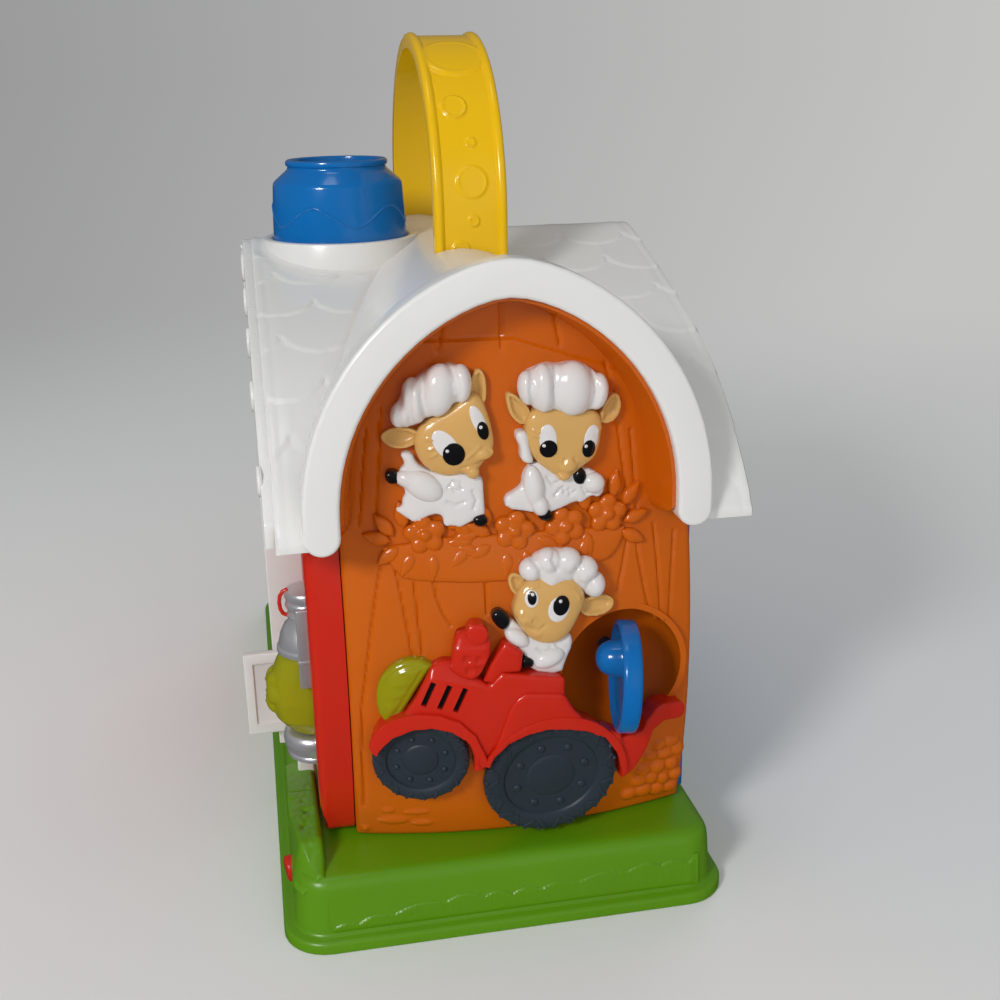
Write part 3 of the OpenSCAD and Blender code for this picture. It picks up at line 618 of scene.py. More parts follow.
PLANK_LINES = [
    [(-42.5, 152), (-45, 140), (-48.5, 122), (-51, 106), (-53.2, 92), (-54, 70), (-54.5, 45)],
    [(-38.2, 145), (-36.6, 134), (-35, 122), (-34, 112.5)],
    [(-31.8, 140.4), (-31, 126), (-30.1, 112.3)],
    [(-24.7, 140.2), (-23.8, 134), (-21.8, 128), (-19.2, 123.4)],
    [(-5.8, 139.2), (-5.7, 127.2)],
    [(49.6, 149), (47.6, 140), (45.1, 130.8)],
    [(53.6, 150), (54.1, 143), (56, 132), (58.1, 121.8)],
    [(61, 154), (62, 140), (63.4, 115.6)],
    [(69.5, 150), (67.8, 132), (66.6, 114.9)],
]
LOFT_LINES = [
    [(-44.5, 160), (-43.6, 174), (-42.2, 188), (-41, 206)],
    [(-50.5, 162), (-48.5, 182), (-46.5, 198)],
    [(41, 218), (45, 200), (48.4, 178), (50.5, 160)],
    [(54, 160), (52.5, 178), (51, 192)],
    [(2.5, 226), (2.5, 246)],
    [(-20, 226), (-17, 241)],
    [(24, 226), (21, 241)],
]
COBBLES = [
    (64.6, 59.4), (69.9, 61.0), (61.5, 54.9), (68.3, 54.3), (73.2, 55.6), (58.6, 49.2), (65.2, 48.6),
    (71.3, 48.4), (56.3, 43.2), (62.3, 42.6), (68.4, 42.0), (74.0, 42.6), (53.6, 37.4), (59.6, 36.8),
    (65.8, 36.3), (71.8, 36.2),
]
PEBBLES = [(-45.3, 42.8, 2.6, 1.4), (-34.0, 41.8, 5.0, 1.5), (-43.0, 37.4, 6.0, 2.0),
           (-31.6, 36.0, 4.6, 1.6), (-54.0, 33.0, 1.7, 1.7)]


def stone_rise(flat):
    """Height of the cobbles and the pebbles at points of the panel, in mm."""
    rng = np.random.default_rng(7)
    rise = np.zeros(len(flat))
    for x, z in COBBLES + rng.uniform(-0.8, 0.8, (len(COBBLES), 2)):
        across = (flat[:, 0] - x) / rng.uniform(3.0, 4.0)
        away = np.hypot(across, (flat[:, 1] - z) / rng.uniform(2.6, 3.4))
        rise = np.maximum(rise, 1.6 * bulge(away))
    for x, z, rx, rz in PEBBLES:
        away = np.hypot((flat[:, 0] - x) / rx, (flat[:, 1] - z) / rz)
        rise += 0.9 * bulge(away)
    return rise


def end_panel(name, front):
    """Orange end panel with its plank lines, standing on the end wall; the front one is open at the bowl."""
    size = bpy.context.scene.barn_sizes
    obj = sheet(name, PANEL_SIDES, (PANEL_FOOT, PANEL_JOIN), 0.7)
    rows = points_of(obj) / MM
    flat = rows[:, :2]
    rise = np.full(len(rows), 0.6)
    for path in PLANK_LINES:
        rise -= size.plank_groove / MM * bead(span_to(flat, path), 0.55)
    if front:
        rise += stone_rise(flat)
    sides = np.minimum(flat[:, 0] - PANEL_SIDES[0], PANEL_SIDES[1] - flat[:, 0])
    rise -= edge_drop(np.minimum(sides, flat[:, 1] - PANEL_FOOT + 0.5), 3.0)
    rows[:, 2] = rise
    for side in (PANEL_SIDES[0] + PANEL_CORNER, PANEL_SIDES[1] - PANEL_CORNER):
        reach = flat - (side, PANEL_FOOT + PANEL_CORNER)
        far = np.linalg.norm(reach, axis=1)
        beyond = (far > PANEL_CORNER) & (reach[:, 1] < 0) & (reach[:, 0] * (side - PANEL_X) > 0)
        flat[beyond] -= reach[beyond] * (1 - PANEL_CORNER / far[beyond])[:, None]
    reach = flat - BOWL_AT
    far = np.linalg.norm(reach, axis=1)
    hole = (far < BOWL_R) & front
    flat[hole] += reach[hole] * (BOWL_R / np.maximum(far[hole], 0.01) - 1)[:, None]
    laid(set_points(obj, rows * MM))
    return skirted(drop_faces(obj, hole), 1, END_Y)


def bowl_place():
    """Middle of the knob's bowl, on the panel skin."""
    y, _ = skin_parts(np.array([BOWL_AT[0]]), np.array([BOWL_AT[1]]))
    return Vector((BOWL_AT[0], y[0], BOWL_AT[1])) * MM


def cut(obj, tool):
    """Cuts a tool's shape out of a piece and drops the tool."""
    applied(obj, ("BOOLEAN", {"operation": "DIFFERENCE", "object": tool, "solver": "EXACT"}))
    bpy.data.objects.remove(tool)
    return obj


def back_to_front(obj):
    """Turns a front piece round to the far end of the barn."""
    rows = points_of(obj)
    rows[:, 1] *= -1
    set_points(obj, rows)
    into_edit(obj)
    bpy.ops.mesh.flip_normals()
    rest_mode()
    return obj


def shingle_rise(x, s, size):
    """Height of the scalloped shingles at left-right x and slope length s, in mm."""
    wide, row = size.shingle_width / MM, size.shingle_row / MM
    step = size.shingle_step / MM
    rise = np.zeros_like(x)
    done = np.zeros(len(x), bool)
    for i in range(SHINGLE_ROWS):
        across = (x / wide + 0.5 * (i % 2)) % 1.0
        scoop = 1 - bulge(2 * across - 1)
        edge = (i + 1) * row - 0.55 * row * scoop
        mine = ~done & (s < edge)
        rise[mine] = step * (1 - 0.55 * np.clip((edge - s)[mine] / row, 0, 1.7))
        done |= mine
    return rise


def roof_sheet(name, sides):
    """Roof slopes on one side of the vault, with real shingles, as a closed shell."""
    size = bpy.context.scene.barn_sizes
    obj = sheet(name, sides, (-ROOF_HALF, ROOF_HALF), 1.0)
    rows = points_of(obj) / MM
    x, y = rows[:, 0].copy(), rows[:, 1].copy()
    z = roof_z(y)
    steep = ROOF_STRAIGHT + 5 * ROOF_CURL * roof_share(y) ** 4
    slope = ROOF_RISE / ROOF_REACH * steep * y / np.sqrt(y**2 + RIDGE_SOFT**2)
    steps = np.linspace(0, ROOF_HALF, 400)
    walk = np.hypot(np.diff(steps), np.diff(roof_fall(steps / ROOF_HALF)))
    s = np.interp(np.abs(y), steps, np.concatenate([[0], np.cumsum(walk)]))
    verge = np.minimum(np.abs(x - ROOF_SIDES[0]), np.abs(ROOF_SIDES[1] - x))
    eave = ROOF_HALF - np.abs(y)
    from_cup = np.hypot(x - CUP_AT[0], y - CUP_AT[1])
    clear = smooth((arch_gap(x, z) - 3.0) / 3.0) * smooth((from_cup - 37.0) / 6.0)
    rise = shingle_rise(x, s, size) * clear - edge_drop(np.minimum(verge, eave), 2.0)
    rise -= 0.2 * bead(verge - 4.5, 0.8)
    out = np.stack([np.zeros_like(y), slope, np.ones_like(y)], axis=-1)
    out /= np.linalg.norm(out, axis=-1, keepdims=True)
    base = np.stack([x, y, z], axis=-1)
    set_points(obj, (base + out * rise[:, None]) * MM)
    hidden = in_arch(x, z, 2.0) | ((np.abs(y) > HOOD_Y) & in_arch(x, z, 10.5))
    return shell(drop_faces(obj, hidden | (from_cup < 32.0)), ROOF_T)


# Properties


def colour(label, text, code):
    """A colour property."""
    return bpy.props.FloatVectorProperty(
        name=label, description=text, subtype="COLOR", size=3, min=0.0, max=1.0, default=linear(code)
    )


def measure(label, text, mm):
    """A length property, given in mm."""
    return bpy.props.FloatProperty(name=label, description=text, unit="LENGTH", default=mm * MM, min=0.0)


class BarnColours(bpy.types.PropertyGroup):
    """Colours of the mouldings and paints."""

    white: colour("White", "Roof, hoods, collar and door", "#E4E3E0")
    orange: colour("Orange", "End panels and flowers", "#CA5F08")
    red: colour("Red", "Facade wall and tractor", "#C92410")
    green: colour("Green", "Base and hedges", "#5C9206")
    yellow: colour("Yellow", "Carrying handle", "#EFBD06")
    blue: colour("Blue", "Chimney, knob and far wall", "#0869B2")
    slate: colour("Slate", "Tractor wheels", "#2B343E")
    tan: colour("Tan", "Faces and ears of the lambs", "#D3A562")
    fleece: colour("Fleece", "Wool of the lambs", "#DEDAD8")
    lens: colour("Lens", "Headlight and lantern lenses", "#B0AE10")
    silver: colour("Silver", "Lantern frame", "#DCDCDF")
    studio: colour("Studio", "Backdrop", "#C3C3C2")
    floor: colour("Floor", "Floor round the barn", "#EDEDEB")
    # Painted shade: the backdrop darkens to this tone towards the far left
    shade: colour("Studio shade", "Backdrop at the far left", "#9A9A9B")


class BarnSizes(bpy.types.PropertyGroup):
    """Sizes of the surface details."""

    plank_groove: measure("Plank groove", "Depth of the lines between the planks", 0.95)
    shingle_width: measure("Shingle width", "Width of one shingle", 29.0)
    shingle_row: measure("Shingle row", "Height of one row of shingles", 27.0)
    shingle_step: measure("Shingle step", "Thickness of a shingle at its lower edge", 0.95)
    hood_round: measure("Hood rounding", "Rounding of the white hood bands", 1.6)
    edge_round: measure("Edge rounding", "Rounding of small moulded edges", 0.7)


# Operators


class BARN_OT_base(bpy.types.Operator):
    """Model the green base with its flange, hedges and grass"""

    bl_idname = "barn.base"
    bl_label = "Base"

    def execute(self, context):
        self.tray()
        self.hedges()
        self.grass()
        self.dot()
        return {"FINISHED"}

    def tray(self):
        """Flange, stepped sides and deck, hollow from below."""
        rest_mode()
        bpy.ops.mesh.primitive_plane_add(size=MM)
        obj = named("base_moulding")
        obj.data.transform(Matrix.Diagonal((*BASE_SIZE, 1, 1)))
        into_edit(obj)
        bpy.ops.mesh.bevel(offset=BASE_CORNER * MM, segments=8, affect="VERTICES")
        bpy.ops.mesh.extrude_region_move(TRANSFORM_OT_translate={"value": (0, 0, FLANGE_T * MM)})
        rings = [(0.4, 0.9), (0.9, 0.6), (2.0, 0.1), (0.7, 0.4), (0.5, 1.2), (1.0, 15.1), (0.4, 2.6),
                 (0.7, 2.0), (1.5, 1.5), (3.0, 0.9)]
        for inset, rise in rings:
            bpy.ops.mesh.inset(thickness=inset * MM, depth=rise * MM)
        bpy.ops.mesh.select_all(action="DESELECT")
        rest_mode()
        for poly in obj.data.polygons:
            poly.select = poly.center.z < 1e-5 and abs(poly.normal.z) > 0.9
        take(obj)
        bpy.ops.object.mode_set(mode="EDIT")
        bpy.ops.mesh.inset(thickness=POCKET_RIM * MM)
        bpy.ops.mesh.extrude_region_move(TRANSFORM_OT_translate={"value": (0, 0, POCKET_DEEP * MM)})
        heal()
        rest_mode()
        seat(obj, "green", "base_tray")

    def hedges(self):
        """Two clipped hedges along the facade edge of the deck, the front one sloping down to the corner."""
        rng = np.random.default_rng(4)
        obj = sheet("hedge_leaves", HEDGE_SIDES, HEDGE_ENDS, 0.6)
        rows = points_of(obj) / MM
        x, y = rows[:, 0], rows[:, 1]
        leaves = np.zeros(len(rows))
        for at in rng.uniform((-84, -166), (-72, -92), (170, 2)):
            away = np.hypot(x - at[0], (y - at[1]) * 0.75) / rng.uniform(1.8, 3.0)
            leaves = np.maximum(leaves, 0.9 * bulge(away))
        top = 28.4 + 8.0 * smooth((y - HEDGE_ENDS[0]) / 15.0)
        top -= np.where(y > HEDGE_SPLIT, 1.6, 0.0) + 2.2 * bead(y - HEDGE_SPLIT, 1.0)
        left = np.interp(y, [-168, -156, -132, -91], [-75.0, -80.5, -84.0, -84.0])
        bend = np.sqrt(np.clip(13.4**2 - np.minimum(y + 159.0, 0) ** 2, 0, None))
        x = np.maximum(x, -71.0 - bend)
        chamfer = np.clip((left - x) / np.maximum(left + 71.0 + bend, 0.9), 0, 1)
        inner = np.minimum(HEDGE_SIDES[1] - x, np.minimum(y - HEDGE_ENDS[0], HEDGE_ENDS[1] - y) + 1.0)
        z = top + leaves * (chamfer == 0) - (top - 22.5) * chamfer - edge_drop(inner, 2.4)
        set_points(obj, np.stack([x, y, z], axis=-1) * MM)
        seat(skirted(obj, 2, 22), "green")

    def grass(self):
        """Low relief of bushes and grass along the front of the base."""
        obj = sheet("grass_relief", GRASS_SIDES, GRASS_HEIGHTS, 0.5)
        rows = points_of(obj) / MM
        x, z = rows[:, 0], rows[:, 1]
        along = [-72, -60, -40, -22, 0, 20, 38, 55, 70, 76]
        crown = np.interp(x, along, [7.5, 9.5, 12.4, 14.6, 13.4, 14.2, 15.6, 17.4, 17.0, 16.6])
        crown += 1.8 * np.abs(np.sin(x / 4.6 + 0.8 * np.sin(x / 11)))
        under = crown - z
        sway = np.sin(x * 4.1 + 1.4 * np.sin(z * 0.9 + x * 0.3))
        strokes = 0.22 * sway * np.exp(-np.clip(under, 0, 99) / 5.0)
        rise = smooth(under / 0.9) * (1.0 + 0.7 * strokes) * smooth((z - GRASS_HEIGHTS[0]) / 3.0 + 0.4) - 0.25
        rise *= smooth(np.minimum(x - GRASS_SIDES[0], GRASS_SIDES[1] - x) / 4.0)
        wall = -172.45 + 1.0 * (z - 6.4) / 15.1
        set_points(obj, np.stack([x, wall - rise, z], axis=-1) * MM)
        seat(shell(obj, 1.2), "green")

    def dot(self):
        """Small red oval on the facade face of the base."""
        turn = spin(-95, "Y") @ spin(10, "X")
        place = Matrix.Translation(Vector((-85.4, -144.0, 18.2)) * MM) @ turn
        side = [(0, -2.5), (5.2, -2.5), (5.2, 0.4), (4.9, 0.9), (4.0, 1.3), (0, 1.4)]
        seat(turned("red_dot_button", side, place, 40), "red", "red_dot")


class BARN_OT_walls(bpy.types.Operator):
    """Model the long walls, the door and its post"""

    bl_idname = "barn.walls"
    bl_label = "Walls and door"

    def execute(self, context):
        small = context.scene.barn_sizes.edge_round / MM
        dressed("left_wall", "red")
        dressed("right_wall", "blue")
        self.strip()
        dressed("door_post", "white", small)
        dressed("side_door", "white", 0.5, body="door")
        return {"FINISHED"}

    def strip(self):
        """Red corner strip that follows the swelling edge of the end panel."""
        sides = (-71.3, PANEL_SIDES[0] + 0.3)
        obj = sheet("corner_strip", sides, (PANEL_FOOT + 2.0, 163.0), 0.8)
        rows = points_of(obj) / MM
        x, z = rows[:, 0], rows[:, 1]
        y, _ = skin_parts(np.full_like(x, PANEL_SIDES[0]), z)
        front = y + 1.6 + edge_drop(np.minimum(x - sides[0], z - PANEL_FOOT - 1.8), 3.2)
        x = np.maximum(x, sides[0] + 3.0 * smooth((44.0 - z) / 14.0))
        set_points(obj, np.stack([x, front, z], axis=-1) * MM)
        seat(skirted(obj, 1, -132), "red")


class BARN_OT_panels(bpy.types.Operator):
    """Model the orange end panels, lofts, planter and flowers"""

    bl_idname = "barn.panels"
    bl_label = "End panels"

    def execute(self, context):
        seat(shell(end_panel("front_panel_planks", True), PANEL_T), "orange", "front_panel")
        self.bowl()
        back = back_to_front(end_panel("back_panel_planks", False))
        seat(shell(back, PANEL_T), "orange", "back_panel")
        for node, front in (("front_loft", True), ("back_loft", False)):
            pieces = [self.loft(node + "_planks"), self.lining(node + "_lining")]
            for piece, nodes in zip(pieces, ([node], [])):
                if not front:
                    back_to_front(piece)
                seat(piece, "orange", *nodes)
        self.planter()
        return {"FINISHED"}

    def bowl(self):
        """Round recess behind the knob."""
        centre = bowl_place()
        rim = centre + Vector((0, 1.6 * MM, 0))
        rest_mode()
        bpy.ops.mesh.primitive_uv_sphere_add(segments=96, ring_count=48, radius=BOWL_R * MM, location=centre)
        bake()
        obj = named("bowl_recess")
        into_edit(obj)
        bpy.ops.mesh.bisect(plane_co=rim, plane_no=(0, 1, 0), clear_inner=True, threshold=1e-7)
        bpy.ops.mesh.select_all(action="SELECT")
        bpy.ops.mesh.flip_normals()
        rest_mode()
        seat(shell(obj, 2.4), "orange")

    def loft(self, name):
        """Upright planks inside the arch."""
        size = bpy.context.scene.barn_sizes
        obj = sheet(name, (-60.0, 74.0), (PANEL_JOIN, 248.0), 0.8)
        rows = points_of(obj) / MM
        flat = rows[:, :2]
        rise = np.full(len(rows), 0.6)
        for path in LOFT_LINES:
            rise -= size.plank_groove / MM * bead(span_to(flat, path), 0.6)
        board = np.interp(flat[:, 0], [-60, -18.6, 6, 36.8, 66], [229, 229, 229, 218, 206])
        rows[:, 2] = rise - 1.2 * smooth((flat[:, 1] - board) / 1.0)
        hidden = ~in_arch(flat[:, 0], flat[:, 1], -0.7) & ((flat[:, 1] > 168.0) | (flat[:, 0] > 72.5))
        return shell(drop_faces(laid(set_points(obj, rows * MM)), hidden), 2.4)

    def lining(self, name):
        """Orange lining that runs forward inside the hood."""
        path = arch(0.7)
        right, left = [170.0 - 1.7 * i for i in range(7)], [170.0 - 2.6 * i for i in range(6)]
        path = [(path[0][0], z) for z in reversed(right)] + path + [(path[-1][0], z) for z in left]
        obj = line(name, [(x, -168.4, z) for x, z in path])
        bpy.ops.mesh.extrude_region_move(TRANSFORM_OT_translate={"value": (0, 33 * MM, 0)})
        heal()
        rest_mode()
        rows = points_of(obj) / MM
        front = rows[:, 1] < -160
        skin, _ = skin_parts(rows[:, 0], rows[:, 2])
        low_right, low_left = smooth((166.0 - rows[:, 2]) / 6.0), smooth((170.0 - rows[:, 2]) / 14.0)
        fade = np.where(rows[:, 0] > ARCH_X, low_right, low_left)
        rows[front, 1] += ((skin + 1.0 - rows[:, 1]) * fade)[front]
        rows[~front, 0] = ARCH_X + 0.89 * (rows[~front, 0] - ARCH_X)
        rows[~front, 2] -= 0.07 * np.maximum(rows[~front, 2] - ARCH_SPRING, 0)
        set_points(obj, rows * MM)
        return shell(obj, 2.2, self.inward(obj))

    def inward(self, obj):
        """Side of the sheet that looks into the arch, as Solidify counts it."""
        poly = obj.data.polygons[0]
        middle = Vector((ARCH_X * MM, poly.center.y, ARCH_SPRING * MM))
        return 1.0 if poly.normal.dot(middle - poly.center) > 0 else -1.0

    def planter(self):
        """Window box with leaves and flowers."""
        box = [(-42.6, 154), (-41.2, 149.5), (-39.1, 146.1), (-35.5, 142.1), (-30, 141.1), (-12, 139.6),
               (8, 139.2), (24, 140.4), (34.7, 142.4), (41.5, 143.6), (45.2, 146.9), (47.6, 151),
               (48.6, 155.5), (20, 157), (-20, 157)]
        pieces = [plate("box", box, -1.5, 2.0, 0.6, 8.0, 0.8, 5)]
        leaf = [(0, 0), (2.2, 2.2), (2.8, 5), (1.9, 8), (0, 11), (-1.9, 8), (-2.8, 5), (-2.2, 2.2)]
        shape = plate("leaf", leaf, -1.5, 1.8, 1.4, 2.6, 0.6, 3)
        spots = [(-38, 158, 38), (-39, 156, 75), (-36, 154, 128), (-34, 161, 10), (-18.5, 160, -48),
                 (-17, 156, -78), (-16, 153.5, -110), (-10, 156, 40), (-9, 155, 90), (-11, 153, 135),
                 (-3.2, 160.5, 25), (-3, 157, 62), (-2.5, 153.5, 118), (13.6, 155, -120), (14.5, 157.5, 85),
                 (15.6, 161.5, 12), (33, 163, 8), (32.5, 155.5, -170), (34, 153.5, 160), (20, 151, 165),
                 (48, 157, -72), (47.6, 163.5, -38), (43.6, 167, -8), (47, 153.6, -120), (-24, 151.5, 175),
                 (-31, 152, 150), (3, 151, 172), (9, 151, -165)]
        pieces += self.planted(shape, spots)
        turns = [k * math.tau / 5 for k in range(5)]
        petals = [lobe(4.6 * math.sin(t), 4.6 * math.cos(t), 2.2, 3.3, 3.3, 2.0) for t in turns]
        flower = softened(joined("flower", petals + [lobe(0, 0, 2.8, 2.7, 2.7, 2.6)]), 0.55, 2)
        spots = [(-26.8, 158.6, 8), (5.6, 158.2, -14), (24.9, 158.2, 20), (41.1, 161.2, -6)]
        pieces += self.planted(flower, spots)
        seat(laid(joined("planter_flowers", pieces)), "orange")

    def planted(self, shape, spots):
        """Copies of a shape at places and turns on the panel, instead of the shape itself."""
        made = [copied(shape, shift(x, z, 0) @ spin(turn)) for x, z, turn in spots]
        bpy.data.objects.remove(shape)
        return made


class BARN_OT_roof(bpy.types.Operator):
    """Model the shingled roof, the vault, the hoods, the collar and the gable board"""

    bl_idname = "barn.roof"
    bl_label = "Roof and hoods"

    def execute(self, context):
        size = context.scene.barn_sizes
        seat(roof_sheet("roof_left_shingles", (ROOF_SIDES[0], ARCH_X)), "white", "roof_left")
        seat(roof_sheet("roof_right_shingles", (ARCH_X, ROOF_SIDES[1])), "white", "roof_right")
        band = size.hood_round / MM
        for node, width in (("vault", 0.0), ("hood_front", band), ("hood_back", band)):
            obj = dressed(node, "white", width, 6, 50.0)
            rows = points_of(obj)
            rows[:, 2] -= soft_peak(rows[:, 0] / MM - ARCH_X) * MM * (rows[:, 2] / MM > ARCH_SPRING + 20)
            set_points(obj, rows)
        self.board()
        place = shift(*CUP_AT, RIDGE_Z)
        collar = [(30.0, -27), (30.0, -0.8), (30.5, 0.1), (31.2, 0.4), (33.2, 0.4), (33.9, 0.1),
                  (34.3, -0.8), (34.6, -8), (35.4, -14), (35.4, -27), (30.0, -27)]
        seat(turned("chimney_collar", collar, place, 96), "white")
        return {"FINISHED"}

    def board(self):
        """Scroll board along the facade gable, standing a little outside the roof."""
        run = np.linspace(-BOARD_HALF, BOARD_HALF, 109)
        head = roof_z(run) - 0.6
        foot = head - 9.5 - 5.0 * np.abs(np.sin(np.pi * BOARD_WAVES * run / BOARD_HALF))
        outline = list(zip(run, head)) + list(zip(run[::-1], foot[::-1]))
        pieces = [softened(slab("board", outline, 0.0, 4.2), 0.8, 4)]
        for side in (-1, 1):
            for k in range(BOARD_WAVES):
                at = side * BOARD_HALF * (k + 0.5) / BOARD_WAVES
                middle = float(roof_z(np.array([at]))[0]) - 8.2
                curl = []
                for i in range(15):
                    across = at + side * (1.0 + 0.42 * i) * math.cos(0.55 * i)
                    curl.append((across, middle + (1.0 + 0.36 * i) * math.sin(0.55 * i), 4.3))
                pieces.append(strand("curl", curl, 1.0, 2))
        obj = joined("gable_board", pieces)
        obj.data.transform(Matrix(((0, 0, -1, -80.4 * MM), (1, 0, 0, 0), (0, 1, 0, 0), (0, 0, 0, 1))))
        into_edit(obj)
        heal()
        rest_mode()
        seat(obj, "white", "gable_trim")


STRAP_X = 7.3
STRAP_DISCS = [
    (0.0, 101.4, 14.0, 0.8), (-3.7, 71.7, 5.6, 0.7), (1.7, 56.0, 2.3, 0.6),
    (0.9, 40.2, 6.8, 0.5), (1.2, 24.8, 2.6, 0.6), (-4.5, 13.0, 4.2, 0.6),
]


class BARN_OT_handle(bpy.types.Operator):
    """Model the yellow carrying handle"""

    bl_idname = "barn.handle"
    bl_label = "Handle"

    def execute(self, context):
        reach, leg, middle, thick = 70.5, 27.0, 263.1, 5.0
        whole = 2 * leg + math.pi * reach
        obj = sheet("handle_strap", (-15.0, 15.0), (0.0, whole), 0.6)
        rows = points_of(obj) / MM
        x, s = rows[:, 0].copy(), rows[:, 1].copy()
        near = np.minimum(s, whole - s)
        rise = 1.4 * bulge((np.abs(x) - 13.1) / 1.9)
        for at, along, r, high in STRAP_DISCS:
            inside = r - np.hypot(x - at, near - along)
            ring = 0.3 * bead(inside - 0.16 * r, 0.5)
            rise = np.maximum(rise, smooth(inside / 0.7) * (high + ring))
        turn = np.clip((s - leg) / reach, 0, math.pi)
        out = np.stack([np.zeros_like(x), -np.cos(turn), np.sin(turn)], axis=-1)
        below = np.minimum(s - leg, 0) + np.minimum(whole - s - leg, 0)
        base = np.stack([x + STRAP_X, np.zeros_like(x), middle + below], axis=-1)
        set_points(obj, (base + out * (reach + rise)[:, None]) * MM)
        shell(obj, thick)
        rows = points_of(obj)
        rows[len(x) : 2 * len(x)] = (base + out * (reach - thick)) * MM
        seat(set_points(obj, rows), "yellow", "handle")
        return {"FINISHED"}


class BARN_OT_chimney(bpy.types.Operator):
    """Model the blue chimney cup with its wavy bead"""

    bl_idname = "barn.chimney"
    bl_label = "Chimney"

    def execute(self, context):
        place = shift(*CUP_AT, RIDGE_Z)
        profile = [(6.5, -12), (29.0, -12), (29.6, -11.4), (29.6, 0), (29.2, 12), (28.5, 22.6),
                   (28.2, 23.8), (27.4, 24.8), (22.8, 28.6), (21.9, 29.5), (21.6, 30.2), (21.7, 30.8),
                   (22.3, 31.2), (22.5, 32.2), (22.2, 33.1), (21.5, 33.5), (19.7, 33.5), (19.0, 33.1),
                   (18.8, 32.2), (18.8, 29), (25.0, 24.0), (25.6, 22.5), (25.8, 6), (6.5, 6), (6.5, -12)]
        cup = turned("cup_body", profile, place, 96)
        wave = []
        for k in range(121):
            a = math.tau * k / 120
            z = 10.5 + 4.2 * math.sin(5 * a + 5.5)
            r = 29.35 - 0.035 * z
            wave.append((CUP_AT[0] + r * math.cos(a), CUP_AT[1] + r * math.sin(a), RIDGE_Z + z))
        seat(joined("chimney_shell", [cup, strand("wave", wave, 0.6)]), "blue", "chimney_cup", body="chimney")
        return {"FINISHED"}


BONNET_EDGE = [(-33.0, 99.6), (-27.2, 105.9), (-22.6, 105.4), (-15.7, 103.4), (-10.3, 102.4), (-6.5, 101.4),
               (-1.2, 106.0), (7.0, 105.5), (70.0, 130.0)]


